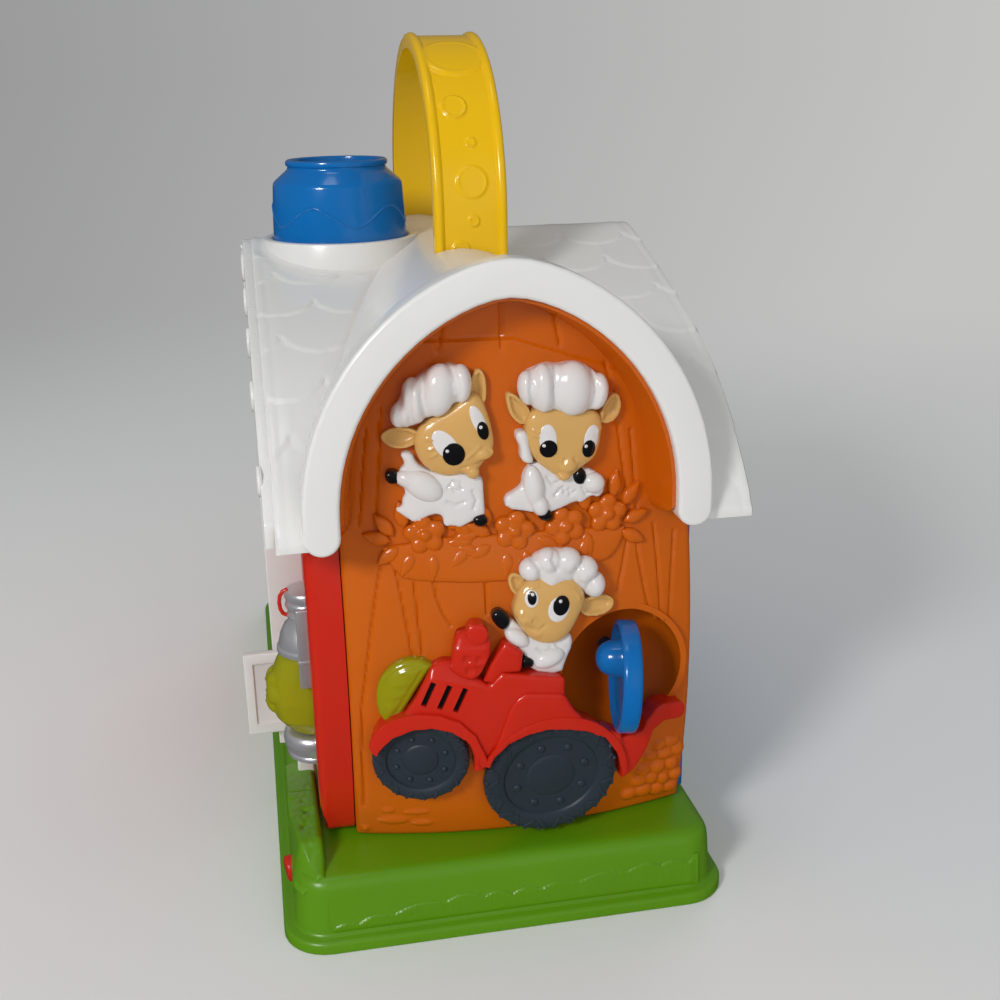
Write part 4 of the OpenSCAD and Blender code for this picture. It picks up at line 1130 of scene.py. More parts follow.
class BARN_OT_tractor(bpy.types.Operator):
    """Model the tractor with its wheels and headlight"""

    bl_idname = "barn.tractor"
    bl_label = "Tractor"

    def execute(self, context):
        body, dark = self.hull()
        parts = [body, *self.fenders(), *self.pipes()]
        seat(laid(joined("tractor_moulding", parts)), "red", "tractor_body")
        # Black plates under the grille slots: painted shade inside the slots
        seat(laid(joined("grille_slot_shade_plates", dark)), "black")
        self.wheel("front", WHEEL_FRONT)
        self.wheel("rear", WHEEL_REAR)
        self.headlight()
        return {"FINISHED"}

    def hull(self):
        """Bonnet and chassis with three slots cut into them, and black plates under the slots as painted
        shade.
        """
        hull = [(-48.4, 80.5), (-46.6, 85.2), (-42.4, 88.8), (-38, 91.2), (-33.5, 97.5), (-27.2, 110),
                (-23.5, 111.8), (-19.5, 111.6), (-6.5, 101.8), (-2.2, 106.7), (20.5, 102.6)]
        hull += arc(BOWL_AT, 25.4, 172, 284, 13)
        hull += [(54.4, 78.2), (58.2, 82.8), (61, 84.2), (69.2, 83.2), (70.6, 80.8), (70.2, 77.6),
                 (68.4, 76.2), (61.7, 76.4), (57.4, 73.4), (55.3, 66), (50.4, 56.8), (46.5, 54)]
        hull += arc(WHEEL_REAR, 27.7, -10, 158, 20) + [(-9.6, 66)] + arc(WHEEL_FRONT, 19.7, -12, 150, 16)
        body = plate("hull", hull, -0.6, 8.0, 0.6, 10.0, 0.7, 5)
        rows = points_of(body)
        line_z = np.interp(rows[:, 0] / MM, *zip(*BONNET_EDGE))
        rows[:, 2] -= 0.42 * np.clip(rows[:, 1] - line_z * MM, 0, 6 * MM) * (rows[:, 2] > 2.5 * MM)
        set_points(body, rows)
        slot = plate("slot", [(-1.0, -5), (1.0, -5), (1.0, 5), (-1.0, 5)], 5.0, 12.0, 0, 1, 0.5, 1)
        dark = []
        for x, z in ((-28.4, 100.2), (-22.7, 98.8), (-17.1, 97.4)):
            move = shift(x, z, 0) @ spin(-24)
            cut(body, copied(slot, move))
            # A black plate 5 mm under the slot, painted shade for its dark inside
            dark.append(copied(slot, shift(0, 0, -5.0) @ move))
        bpy.data.objects.remove(slot)
        return body, dark

    def fenders(self):
        """Fender of each wheel and the lip along its outer edge."""
        crown = [(-49.5, 82.5), (-47.2, 86.7), (-41.4, 90.8), (-36.5, 92.4), (-31.5, 93), (-24.4, 92.2),
                 (-17.4, 89), (-11.7, 82.7), (-8.1, 73.8), (-7.1, 69.8)]
        wing = crown + arc(WHEEL_FRONT, 19.7, 0, 158, 16)
        peak = crown + [(-10.3, 69.2), (-11, 72.3), (-14.6, 80.4), (-20.3, 85), (-27.4, 87.1),
                        (-34.5, 86.5), (-41.7, 83.3), (-46.2, 78.2), (-47.4, 75.6), (-49.4, 77.5),
                        (-50.2, 80)]
        brow = arc(WHEEL_REAR, 29.0, 158, 0, 20)
        brow += [(44.4, 56), (44.2, 59.4), (42.1, 67.3), (36.9, 75.6), (30.5, 79.5), (22.7, 81.6),
                 (15, 82.8), (7.5, 81.7), (0.1, 78.6), (-5.1, 73.1), (-7, 68.8)]
        guard = arc(WHEEL_REAR, 27.7, 168, 6, 22)
        guard += [(45.5, 62), (43.4, 76), (36, 79.6), (29.5, 83.6), (24.5, 89.6), (21.6, 95.2),
                  (19.6, 96.6), (6.6, 98.6), (3.2, 96.4), (0.2, 91.6), (-3.0, 82), (-6.4, 72)]
        return [
            plate("wing", wing, 0.0, 9.4, 0.4, 2.6, 0.6, 3),
            plate("peak", peak, 7.6, 10.0, 0.3, 2.0, 0.5, 2),
            plate("brow", brow, 8.3, 10.0, 0.2, 2.0, 0.5, 2),
            plate("guard", guard, 2.0, 9.4, 0.6, 6.0, 0.7, 5),
        ]

    def pipes(self):
        """Exhaust with its dimples and cap, and the steering column."""
        stack = [(-20.4, 110), (-18.8, 118.8), (-17.3, 122.5), (-13.9, 123.6), (-7, 122.4), (-5.4, 119.1),
                 (-6.1, 113.8), (-8.6, 109), (-10.2, 106.6), (-12.9, 105), (-16.4, 106.4)]
        column = [(-8.6, 103.4), (-6.4, 109.4), (-0.8, 117.6), (1.4, 117.8), (6.4, 113.6), (5.4, 106),
                  (-1.5, 106), (-4.6, 102)]
        pipe = plate("stack", stack, 0.0, 8.4, 1.6, 3.0, 0.6, 3)
        rows = points_of(pipe)
        for spot in ((-14.3, 113.6), (-9.7, 113.2), (-13.5, 109.2), (-10.4, 109.6)):
            away = np.hypot(rows[:, 0] / MM - spot[0], rows[:, 1] / MM - spot[1]) / 1.7
            rows[:, 2] -= 0.8 * MM * bulge(away) * (rows[:, 2] > 4 * MM)
        rows[:, 2] -= 0.5 * np.clip(rows[:, 1] - 117.5 * MM, 0, 5 * MM) * (rows[:, 2] > 4 * MM)
        return [
            set_points(pipe, rows),
            plate("cap", arc((-10.4, 122.6), 4.0, 0, 345, 23), 1.0, 9.6, 0.6, 2.4, 0.6, 3),
            plate("column", column, 0.0, 6.6, 1.0, 3.0, 0.7, 5),
        ]

    def wheel(self, end, wheel):
        """Treaded wheel with hub, bolts and slanting lugs."""
        x, z, r = wheel
        t = WHEEL_T
        profile = [(0, 0), (r - 1.2, 0), (r - 0.3, 0.6), (r, 1.6), (r, t - 2.0), (r - 0.5, t - 0.9),
                   (r - 1.6, t - 0.2), (r * 0.86, t), (r * 0.76, t - 0.2), (r * 0.72, t - 0.7),
                   (r * 0.7, t - 1.5), (r * 0.37, t - 1.5), (r * 0.345, t - 1.1), (r * 0.32, t - 0.9),
                   (0, t - 0.7)]
        pieces = [turned("tyre", profile, Matrix.Identity(4), 72)]
        lug = block("lug", (0, 0, 0), (0.21 * r, 1.5, 1.3), 0.4, 2)
        tilt = spin(90, "Y") @ spin(25)
        count = LUGS_FRONT if r < 20 else LUGS_REAR
        for k in range(count):
            round_hub = Matrix.Rotation(math.tau * k / count, 4, "Z")
            slant = spin(38 if k % 2 else -38)
            pieces.append(copied(lug, round_hub @ shift(0.88 * r, 0, t - 0.35) @ slant))
            pieces.append(copied(lug, round_hub @ shift(r - 0.75, 0, 0.48 * t) @ tilt))
        bpy.data.objects.remove(lug)
        stud = lobe(0, 0, 0, 0.062 * r, 0.062 * r, 0.9)
        bake()
        for k in range(WHEEL_BOLTS):
            round_hub = Matrix.Rotation(math.tau * (k + 0.4) / WHEEL_BOLTS, 4, "Z")
            pieces.append(copied(stud, round_hub @ shift(0.53 * r, 0, t - 1.5)))
        bpy.data.objects.remove(stud)
        obj = joined("wheel_" + end + "_moulding", pieces)
        obj.data.transform(stand_on(x, z, WHEEL_GAP))
        seat(obj, "slate", "wheel_" + end, body=end + "_wheel", angle=math.radians(30))

    def headlight(self):
        """Half-round lens in front of the bonnet, with a groove and faint ribs inside its rim."""
        rim = [(-47.4, 99.4), (-46.6, 103), (-45.1, 106), (-42.8, 108.7), (-40.2, 110.7), (-37.6, 111.9),
               (-34.7, 112.5), (-30.4, 112.2), (-26.4, 109.9), (-29.1, 106.1), (-32.9, 100.1),
               (-37.9, 91.3), (-40.8, 87.8), (-44.8, 87.2), (-46.9, 91), (-47.5, 95)]
        lens = plate("headlight_glass", rim, -0.5, 3.6, 3.2, 8.0, 0.5, 4)
        rows = points_of(lens)
        inside = span_to(rows[:, :2] / MM, rim + rim[:1])
        ribs = 0.16 * np.sin(rows[:, 1] / MM * 1.35) * smooth((inside - 3.0) / 1.5)
        rows[:, 2] += (ribs - 0.4 * bead(inside - 2.4, 0.6)) * MM * (rows[:, 2] > RELIEF_TOP * MM)
        seat(laid(set_points(lens, rows)), "lens", "headlight_lens")


LAMB_LEFT = {
    "wool": [(-36.7, 203), (-35.1, 207.8), (-32.7, 212.5), (-29.2, 216.6), (-25.1, 219.4), (-20.6, 221.4),
             (-16.1, 222.1), (-12.2, 220.7), (-9.8, 217.1), (-9.3, 212.9), (-10.8, 208.8), (-14, 208.1),
             (-17.7, 206.7), (-21.7, 203.8), (-25.7, 202.7), (-29.2, 200.2), (-32.6, 199.5), (-35.4, 200.3)],
    "tufts": [(-33.6, 204.6, 4.4, 3.6, 4.8, 4.8, -10), (-28.6, 209.6, 5.0, 4.4, 8.4, 5.4, 8),
              (-20.4, 213.2, 5.4, 6.2, 9.6, 5.8, -8), (-12.6, 215.2, 5.0, 3.8, 7.0, 5.2, 0)],
    "waves": [[(-29.1, 217.7), (-30.1, 209.4), (-30.2, 200.2)],
              [(-24.4, 221), (-26, 211.6), (-25.1, 202.5)],
              [(-16.8, 223.2), (-13.9, 217.1), (-13.4, 212.4), (-14.6, 207.6)],
              [(-33, 213.6), (-33.6, 206.5), (-32.7, 199.4)]],
    "face": [(-28.4, 198.4), (-25, 202.2), (-19.5, 204.8), (-13.9, 208.3), (-8.9, 212.4), (-5.3, 209.6),
             (-2.9, 202.5), (-1.7, 196.4), (-1.2, 192.4), (-2.4, 188.6), (-4.6, 186.4), (-6.4, 184.6),
             (-7.4, 180.7), (-10.2, 179.8), (-12.4, 182.2), (-17.1, 180.8), (-22.6, 182.2), (-26.8, 185.9),
             (-28.9, 189.9), (-29.6, 194.5)],
    "ears": [[(-41.6, 196), (-38.2, 199.2), (-33, 199.9), (-27.5, 198), (-27.5, 193.9), (-32.7, 191.4),
              (-37.6, 192)],
             [(-10.6, 210), (-9.6, 215.3), (-7.2, 219.6), (-5, 219.6), (-3.4, 215), (-3.8, 207),
              (-7.5, 207)]],
    "body": [(-34.8, 190.4), (-30.2, 190.3), (-28.8, 186), (-24.9, 183.4), (-20.9, 182.4), (-15.3, 182.4),
             (-10, 181.6), (-7.2, 180.6), (-5.5, 179.5), (-5.4, 173.3), (-5.1, 168.4), (-5, 165.3),
             (-9.6, 163.3), (-12.9, 161.7), (-14.2, 161.1), (-17, 162), (-19.9, 161.6), (-20.2, 165.7),
             (-22, 166.7), (-24.7, 166.3), (-28, 164.7), (-30.4, 163.6), (-33.2, 165.7), (-37.5, 169.1),
             (-34.2, 170.1), (-34.5, 172.5), (-32.6, 175.8), (-35.6, 179.2), (-35, 184), (-32.6, 185.8)],
    "arms": [(-26.6, 177.8, 4.0, 7.8, 5.2, 3.6, -34), (-32, 180.6, 3.5, 4.6, 3.4, 3.4, -10)],
    "hooves": [[(-40.4, 183.8), (-35.4, 183.8), (-34.0, 179.1), (-39.2, 178.6)],
               [(-10.2, 164.9), (-5.7, 166.6), (-3.9, 163.5), (-4.9, 161.3), (-8.6, 161.2)]],
    "whites": [(-18.5, 193.6, 3.6, 6.2, 36), (-7.0, 201.8, 2.2, 6.0, 22)],
    "pupils": [(-15.8, 190.2, 3.8, 4.2, 0), (-5.5, 198.2, 2.0, 3.4, 14)],
    "lights": [(-18.0, 191.6), (-6.3, 199.6)],
    "muzzle": [(-5.2, 189.4, 4.6, 3.6, 2.2, 2.0, 22), (-9.3, 182.8, 4.4, 2.4, 2.6, 2.2, 0)],
    "limbs": [[(-34.8, 182.5), (-31.2, 184.1), (-27.3, 182.7), (-22.6, 180.4), (-20.3, 176.4), (-22, 172.6),
               (-25.3, 171.9), (-28.7, 175), (-32.2, 177.7)]],
    "creases": [[(-13, 184.6), (-10.1, 185.3), (-7.3, 185.8), (-4.9, 186.7)], [(-3.6, 190.8), (-3.0, 190.0)]],
    "ridges": [[(-24.8, 195.7), (-22.5, 195.5)], [(-24.4, 192.1), (-22.2, 192.7)],
               [(-23.7, 189.1), (-21.7, 190.5)], [(-11.3, 188.4), (-9.2, 190.2), (-6.8, 192.4)]],
    "curls": [[(-17.9, 176.9), (-16.2, 179), (-13.8, 178.4), (-13, 176.2), (-15.5, 175.5), (-16.7, 176.4)],
              [(-18.4, 171.4), (-15.2, 170.0), (-12.4, 171.2)],
              [(-9.4, 175.0), (-8.0, 171.6), (-9.2, 168.6)]],
}
LAMB_RIGHT = {
    "wool": [(7.5, 212), (8.3, 215.5), (10.7, 218), (14.2, 219.3), (18.3, 220.6), (21.9, 219.6),
             (26.7, 220.4), (31.5, 219.6), (35.2, 216.5), (38.3, 212.6), (39.3, 208.8), (38.4, 205.2),
             (35.9, 203), (32.2, 202.1), (28.5, 200.4), (24.9, 201.5), (20.7, 203.5), (17.1, 203),
             (13.5, 203.7), (10.6, 206.9), (7.9, 209.3)],
    "tufts": [(10.8, 212.2, 4.6, 3.8, 6.4, 4.8, 6), (16.0, 211.9, 5.0, 4.2, 9.0, 5.6, 2),
              (26.6, 211.0, 5.4, 7.2, 10.0, 6.0, 0), (36.0, 209.0, 4.6, 3.8, 6.8, 5.0, -8)],
    "waves": [[(12, 220), (10.8, 212.2), (12.1, 204.5)], [(20.4, 221), (18.7, 211.6), (19.9, 203.1)],
              [(33, 219.6), (34.5, 210.3), (32.1, 202)]],
    "face": [(9.5, 198.5), (11.5, 203.6), (16.6, 205), (22.3, 204), (28.2, 203), (34.8, 202.6),
             (38.2, 199.3), (37.9, 192.6), (36.9, 187.4), (34.9, 183.5), (30.9, 181.5), (28.2, 178.9),
             (23.6, 176.5), (19.7, 179.3), (15.1, 183.2), (11.3, 187.8), (9.8, 193.2)],
    "ears": [[(3.1, 210.7), (5.8, 210.4), (11.3, 205.4), (12.6, 199.7), (8.7, 198), (4.9, 201.5),
              (3.4, 206.2)],
             [(37.6, 199.6), (39.6, 204.6), (43, 207.9), (45.4, 206), (45.8, 201.3), (43.8, 197.5),
              (40.4, 196.1), (37.6, 197)]],
    "body": [(8.8, 180), (12.4, 184.2), (16.3, 184), (20.2, 180.3), (24.9, 177.8), (29.6, 180.1),
             (35, 179.8), (39.2, 175.2), (39.6, 170.7), (37.2, 168.2), (34.4, 169.6), (30.7, 166.9),
             (28.3, 167.9), (22.9, 165.7), (16.2, 163.6), (11.6, 165.4), (2.4, 167.3), (2, 171.8),
             (6.4, 174), (8.7, 175.9)],
    "arms": [(12.6, 175.4, 4.0, 3.8, 8.2, 3.6, 6), (14.8, 168, 4.0, 3.2, 4.4, 3.4, 16),
             (35, 174.6, 4.0, 4.4, 4.0, 3.4, -30)],
    "hooves": [[(13.6, 164.2), (17.6, 167), (19.9, 164), (18.6, 161.4), (15.4, 161.6)],
               [(27.2, 178.6), (29, 181), (31.6, 180.2), (32.6, 177), (31.2, 174.4), (28.6, 174.4),
                (27, 176.4)]],
    "whites": [(17.2, 193.6, 3.1, 5.4, 4), (33.2, 192.2, 2.9, 5.2, -10)],
    "pupils": [(17.3, 190.0, 3.1, 3.3, 0), (32.1, 188.6, 2.6, 3.3, 0)],
    "lights": [(15.6, 191.4), (30.8, 189.9)],
    "muzzle": [(25.0, 183.2, 4.6, 3.4, 3.4, 2.2, 0), (23.4, 178.9, 4.2, 2.4, 2.0, 2.0, 0)],
    "limbs": [[(6.7, 196.7), (10.7, 196.4), (11.3, 189.8), (13.1, 184.2), (9.5, 184.3), (7.7, 186.6),
               (8.1, 190), (6.1, 194.2)]],
    "creases": [[(22.0, 180.6), (24.4, 179.8), (27.0, 180.6)], [(23.4, 185.4), (23.0, 184.4)],
                [(26.8, 185.4), (27.2, 184.4)]],
    "ridges": [[(12.1, 197), (14.5, 196.1)], [(12.5, 195), (14.3, 194.4)], [(35.8, 194.9), (37.5, 195.4)]],
    "curls": [[(20.4, 171.2), (22.1, 173.3), (23.4, 174), (23.8, 172.2), (25.6, 172.9), (26, 171.1),
               (27.7, 172)], [(17.6, 178.4), (19.6, 175.6), (22.0, 176.4)],
              [(30.6, 173.2), (32.0, 170.6), (34.2, 171.4)]],
}
LAMB_DRIVER = {
    "wool": [(6.7, 143), (7.6, 145.3), (11.1, 147.1), (11.8, 149.1), (16.2, 150.8), (21.1, 150.7),
             (26, 149.3), (29.7, 146.1), (33.1, 142.6), (35.8, 139.9), (37.5, 135.4), (36.8, 131.7),
             (34.2, 130.5), (31, 132.1), (29.2, 134.3), (27, 136.3), (24.3, 137.9), (21.1, 137.3),
             (18.2, 135.2), (15.5, 135.9), (13.8, 138.1), (10.8, 139.6), (8.2, 141)],
    "tufts": [(10.6, 143.8, 5.0, 4.6, 4.4, 4.8, 0), (16.8, 146.4, 5.6, 4.8, 5.0, 5.4, 0),
              (24.0, 145.8, 5.8, 5.0, 5.0, 5.4, 0), (30.6, 141.6, 5.4, 4.8, 5.2, 5.2, 0),
              (34.2, 135.8, 4.8, 4.0, 5.0, 4.6, 0)],
    "waves": [[(10.4, 148), (13, 144), (13.3, 138.6)], [(30, 147), (25.7, 142.7), (25.9, 136.7)],
              [(19.4, 151.9), (17.4, 147.1), (19, 143.6)], [(36, 140.8), (31.8, 138.3), (30, 132.5)]],
    "face": [(4, 132), (5.4, 136.6), (9, 140.4), (14.6, 141.6), (18.4, 141), (23.3, 140.9), (28.3, 137.3),
             (31, 131.5), (28.6, 126.1), (25.2, 120), (21.9, 116.3), (16.2, 114.9), (9.8, 117.3),
             (5.2, 123), (2.9, 128.9)],
    "ears": [[(2, 140.3), (3.3, 142.8), (6.4, 142.3), (9, 139.4), (6.8, 133.2), (3.1, 135.5)],
             [(28.6, 130), (34.4, 130.9), (39.5, 131), (43, 127.9), (41.1, 124.4), (35.9, 122.6), (29, 124)]],
    "body": [(-0.6, 122.1), (2.5, 126.1), (6, 122.7), (10.2, 118.1), (16.7, 116.1), (22.4, 117.1),
             (25.2, 118), (25.9, 113.2), (23.2, 107.8), (21.3, 101.6), (9.2, 104.6), (8.1, 110.6),
             (2, 116.6)],
    "arms": [(4.6, 118.6, 3.8, 5.4, 3.2, 3.2, -38), (16.4, 109.2, 3.8, 6.4, 3.6, 3.2, 18)],
    "hooves": [[(-5, 126.6), (-3.8, 129.5), (-0.6, 130.1), (2.6, 126.2), (1.6, 122.6), (-1.4, 121.6)],
               [(5.3, 109.6), (7.5, 111.3), (11.3, 109), (9.9, 106.1), (6.4, 106)]],
    "whites": [(9.7, 133.7, 2.4, 3.2, 0), (19.5, 129.0, 3.9, 4.8, -22)],
    "pupils": [(9.8, 134.0, 1.6, 2.5, 0), (20.3, 130.3, 3.0, 3.7, -14)],
    "lights": [(10.0, 135.4), (20.0, 132.0)],
    "muzzle": [(8.8, 126.6, 4.4, 4.6, 3.6, 2.0, -18), (12.2, 121.2, 4.0, 2.6, 2.8, 1.8, 0)],
    "limbs": [],
    "creases": [[(7.7, 124.3), (9.1, 122.5), (10.9, 121.8), (12.6, 122), (14.3, 123.5)],
                [(6.6, 127.4), (6.2, 126.6)], [(10.1, 125.7), (9.9, 125.0)]],
    "ridges": [[(9.8, 137.2), (10.7, 138), (12.1, 138.1)], [(25.6, 134.7), (26.8, 133.7), (27.7, 131.8)]],
    "curls": [[(12.0, 113.4), (14.4, 112.0), (17.0, 113.2)], [(19.2, 114.2), (21.4, 111.4), (20.4, 108.0)]],
}


class BARN_OT_lambs(bpy.types.Operator):
    """Model the three lambs in relief"""

    bl_idname = "barn.lambs"
    bl_label = "Lambs"

    def execute(self, context):
        self.lamb("lamb_left", LAMB_LEFT, 4.0)
        self.lamb("lamb_right", LAMB_RIGHT, 4.0)
        self.lamb("lamb_driver", LAMB_DRIVER, 5.0)
        return {"FINISHED"}

    def lamb(self, node, shape, face_high):
        """One lamb: fleece, painted face, eyes and hooves, modelled flat and laid on the panel."""
        face = plate("face", eased(shape["face"]), -0.8, face_high, 3.4, 9.0, 0.6, 4)
        ears = [plate("ear", eased(ear), -0.8, 3.6, -1.7, 1.8, 0.5, 3, 1.3) for ear in shape["ears"]]
        muzzle = [lobe(x, z, h + face_high - 2.6, *form) for x, z, h, *form in shape["muzzle"]]
        head = softened(joined("head", [face] + muzzle), 0.5, 5)
        self.carved(head, shape["creases"], -0.55)
        self.carved(head, shape["ridges"], 0.55)
        whites = self.seated(head, shape["whites"], 0.35)
        dark = self.seated(head, shape["pupils"], 0.7)
        lights = self.seated(head, [(x, z, 0.65, 0.65, 0) for x, z in shape["lights"]], 1.05)
        hooves = [plate("hoof", eased(hoof), -0.5, 4.4, 1.4, 2.4, 0.5, 3) for hoof in shape["hooves"]]
        limbs = [plate("limb", eased(limb, 1), -0.8, 4.4, 1.8, 4.0, 0.6, 3) for limb in shape["limbs"]]
        body = plate("body", eased(shape["body"], 1), -0.8, 3.4, 1.4, 5.0, 0.5, 3)
        self.carved(body, shape["curls"], -0.8)
        arms = softened(joined("arms", [lobe(*row) for row in shape["arms"]]), 0.6, 3)
        cap = plate("cap", eased(shape["wool"]), -0.8, 4.4, 4.6, 7.0, 0.6, 3)
        wool = softened(joined("wool", [cap] + [lobe(*row) for row in shape["tufts"]]), 0.5, 5)
        self.carved(wool, shape["waves"], -1.0, 1.0)
        seat(laid(joined(node + "_fleece", [wool, body, arms] + limbs)), "white", node, coat="fleece")
        seat(laid(joined(node + "_face", [head] + ears)), "white", coat="tan")
        seat(laid(joined(node + "_eye_whites", whites)), "white", coat="fleece")
        seat(laid(joined(node + "_dark", dark + hooves)), "black")
        seat(laid(joined(node + "_eye_lights", lights)), "white", coat="fleece")

    def carved(self, obj, paths, rise, width=0.6):
        """Raises or lowers the top of a flat piece along broken lines, in mm."""
        rows = points_of(obj)
        for path in paths:
            near = bead(span_to(rows[:, :2] / MM, path), width)
            rows[:, 2] += rise * MM * near * (rows[:, 2] > RELIEF_TOP * MM)
        return set_points(obj, rows)

    def seated(self, head, ovals, proud):
        """Low ovals that follow the face below them."""
        made = []
        for x, z, rx, rz, turn in ovals:
            obj = lobe(x, z, 0, rx, rz, 1.0, turn)
            bake()
            rows = points_of(obj)
            for row in rows:
                hit, spot, _, _ = head.ray_cast(Vector((row[0], row[1], 0.05)), Vector((0, 0, -1)))
                under = spot.z if hit else 0.0
                row[2] = under + (0.35 * row[2] + (proud - 0.35) * MM)
            made.append(set_points(obj, rows))
        return made


class BARN_OT_knob(bpy.types.Operator):
    """Model the blue disc knob in its bowl"""

    bl_idname = "barn.knob"
    bl_label = "Knob"

    def execute(self, context):
        side = [(21.7, 0), (21.7, 2.3), (21.4, 3.1), (20.7, 3.6), (19.9, 3.6), (19.3, 3.1), (18.9, 2.3),
                (18.1, 1.5), (16.8, 1.2), (0, 1.2)]
        dome = [(0, 0), (9.0, -0.9), (8.0, -1.6), (7.4, -3.0), (7.1, -5.0), (6.5, -7.4), (5.4, -9.5),
                (3.6, -11.0), (1.7, -11.7), (0, -11.8)]
        place = Matrix.Translation(bowl_place() + Vector((0, -5 * MM, -0.8 * MM)))
        lean = spin(-8.5) @ spin(92.8, "Y")
        grip = lean @ shift(-7.6, 0, 0)
        pieces = [
            turned("disc", [(r, -h) for r, h in reversed(side)] + side[1:], place @ lean, 96),
            turned("grip", dome, place @ grip, 48),
        ]
        stem = [(0, -4), (2.6, -4), (2.6, 33), (0, 33)]
        stub = turned("stem", stem, Matrix.Translation(bowl_place()) @ spin(-90, "X"), 32)
        seat(joined("knob_disc", pieces + [stub]), "blue", "knob", body="turn_knob")
        return {"FINISHED"}


class BARN_OT_lantern(bpy.types.Operator):
    """Model the silver lantern with its lens and bail"""

    bl_idname = "barn.lantern"
    bl_label = "Lantern"

    def execute(self, context):
        self.body()
        self.lens()
        self.bail()
        seat(block("wall_foot", (-75.0, -96.0, 40.0), (7, 6, 27), 1.0), "white")
        return {"FINISHED"}

    def half(self, name, profile):
        """Half of a turned piece, flat against the facade."""
        obj = turned(name, profile, Matrix.Translation(Vector((*LANTERN_AT, 0.0)) * MM), 64)
        into_edit(obj)
        wall = {"plane_co": (LANTERN_AT[0] * MM, 0, 0), "plane_no": (1, 0, 0)}
        bpy.ops.mesh.bisect(use_fill=True, clear_outer=True, threshold=1e-7, **wall)
        rest_mode()
        return obj

    def body(self):
        """Foot, hood with its ringed cap, and the clasp bar."""
        foot = [(0, 65.5), (12.4, 65.5), (13.4, 64.6), (13.9, 62.4), (13.5, 59.4), (12.3, 57.4),
                (12.2, 56.8), (12.7, 56.0), (12.6, 55.0), (11.8, 54.4), (0, 54.4)]
        hood = [(0, 100.5), (13.2, 100.5), (13.9, 101.2), (13.8, 102.6), (13.0, 103.4), (12.9, 105.0),
                (12.0, 108.4), (10.4, 111.6), (8.4, 113.6), (7.6, 114.4), (8.4, 114.8), (9.0, 115.8),
                (8.6, 117.0), (7.8, 117.6), (7.8, 118.4), (9.0, 119.0), (9.4, 120.2), (9.0, 121.6),
                (8.2, 122.2), (8.2, 122.8), (9.4, 123.4), (9.6, 125.2), (9.0, 126.2), (0, 126.6)]
        pieces = [
            self.half("foot", foot),
            self.half("hood", hood),
            block("bar", (-72.4, -133.0, 108.0), (6.2, 3.0, 33.0), 0.7),
            block("band", (-72.4, -133.0, 102.6), (6.8, 3.6, 1.6), 0.5),
            block("bridge", (-72.4, -128.4, 105.4), (6.0, 7.0, 4.0), 0.6),
        ]
        seat(joined("lantern_body", pieces), "silver", "lantern_frame")

    def bail(self):
        """Red wire that hangs round the outer side of the cap."""
        bend = [(-77.4, 126.6), (-79.4, 125.8), (-80.7, 123.8), (-81.1, 121.2), (-80.8, 118.4),
                (-79.9, 116.4), (-77.4, 115.2)]
        path = [(x, LANTERN_AT[1], z) for x, z in bend]
        seat(strand("bail_wire", path, 0.8), "red", "lantern_bail")

    def lens(self):
        """Glass that swells out of the frame, with petals in relief on its face."""
        obj = dressed("lantern_lens", "lens", body="lantern")
        rows = points_of(softened(obj, 0.6, 4, True)) / MM
        out = smooth((-74.0 - rows[:, 0]) / 6.0)
        side, high = rows[:, 1] - LANTERN_AT[1], rows[:, 2] - 84.0
        swell = 4.0 * np.clip(1 - (high / 20.0) ** 2, 0, 1)
        for k in range(6):
            at = (6.0 * math.cos(k * math.tau / 6), 6.0 * math.sin(k * math.tau / 6))
            away = np.hypot(side - at[0], high - at[1]) / 3.6
            swell += 1.9 * bulge(away)
        rows[:, 0] -= out * swell
        set_points(obj, rows * MM)


class BARN_OT_fittings(bpy.types.Operator):
    """Give the screws, cells, boards and other inner parts their finishes"""

    bl_idname = "barn.fittings"
    bl_label = "Inner fittings"

    def execute(self, context):
        kinds = {
            "steel": ("door_screw", "contact_front", "contact_rear", "screw_fl", "screw_fr", "screw_bl",
                      "screw_br", "door_pin"),
            "cell": ("battery_left", "battery_mid", "battery_right", "speaker"),
            "board": ("circuit_board", "lantern_board"),
            "led": ("led_headlight", "led_lantern"),
            "clip": ("clip_front", "clip_rear", "knob_clip"),
            "dark_green": ("base_cover", "battery_door"),
            "black": ("power_switch",),
        }
        for coat, nodes in kinds.items():
            for node in nodes:
                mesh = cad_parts[node].data
                mesh.materials.clear()
                mesh.materials.append(finish(coat))
        self.springs()
        return {"FINISHED"}

    def springs(self):
        """Return springs, as short as the pressed buttons leave them, so that no button cuts its spring."""
        kinds = (("chimney_spring", 2, np.min, 4.2), ("lantern_spring", 0, np.max, 2.7))
        for node, axis, fixed, stroke in kinds:
            obj = dressed(node, "steel")
            rows = points_of(obj)
            foot = fixed(rows[:, axis])
            rows[:, axis] = foot + (rows[:, axis] - foot) * (1 - stroke * MM / np.ptp(rows[:, axis]))
            set_points(obj, rows)


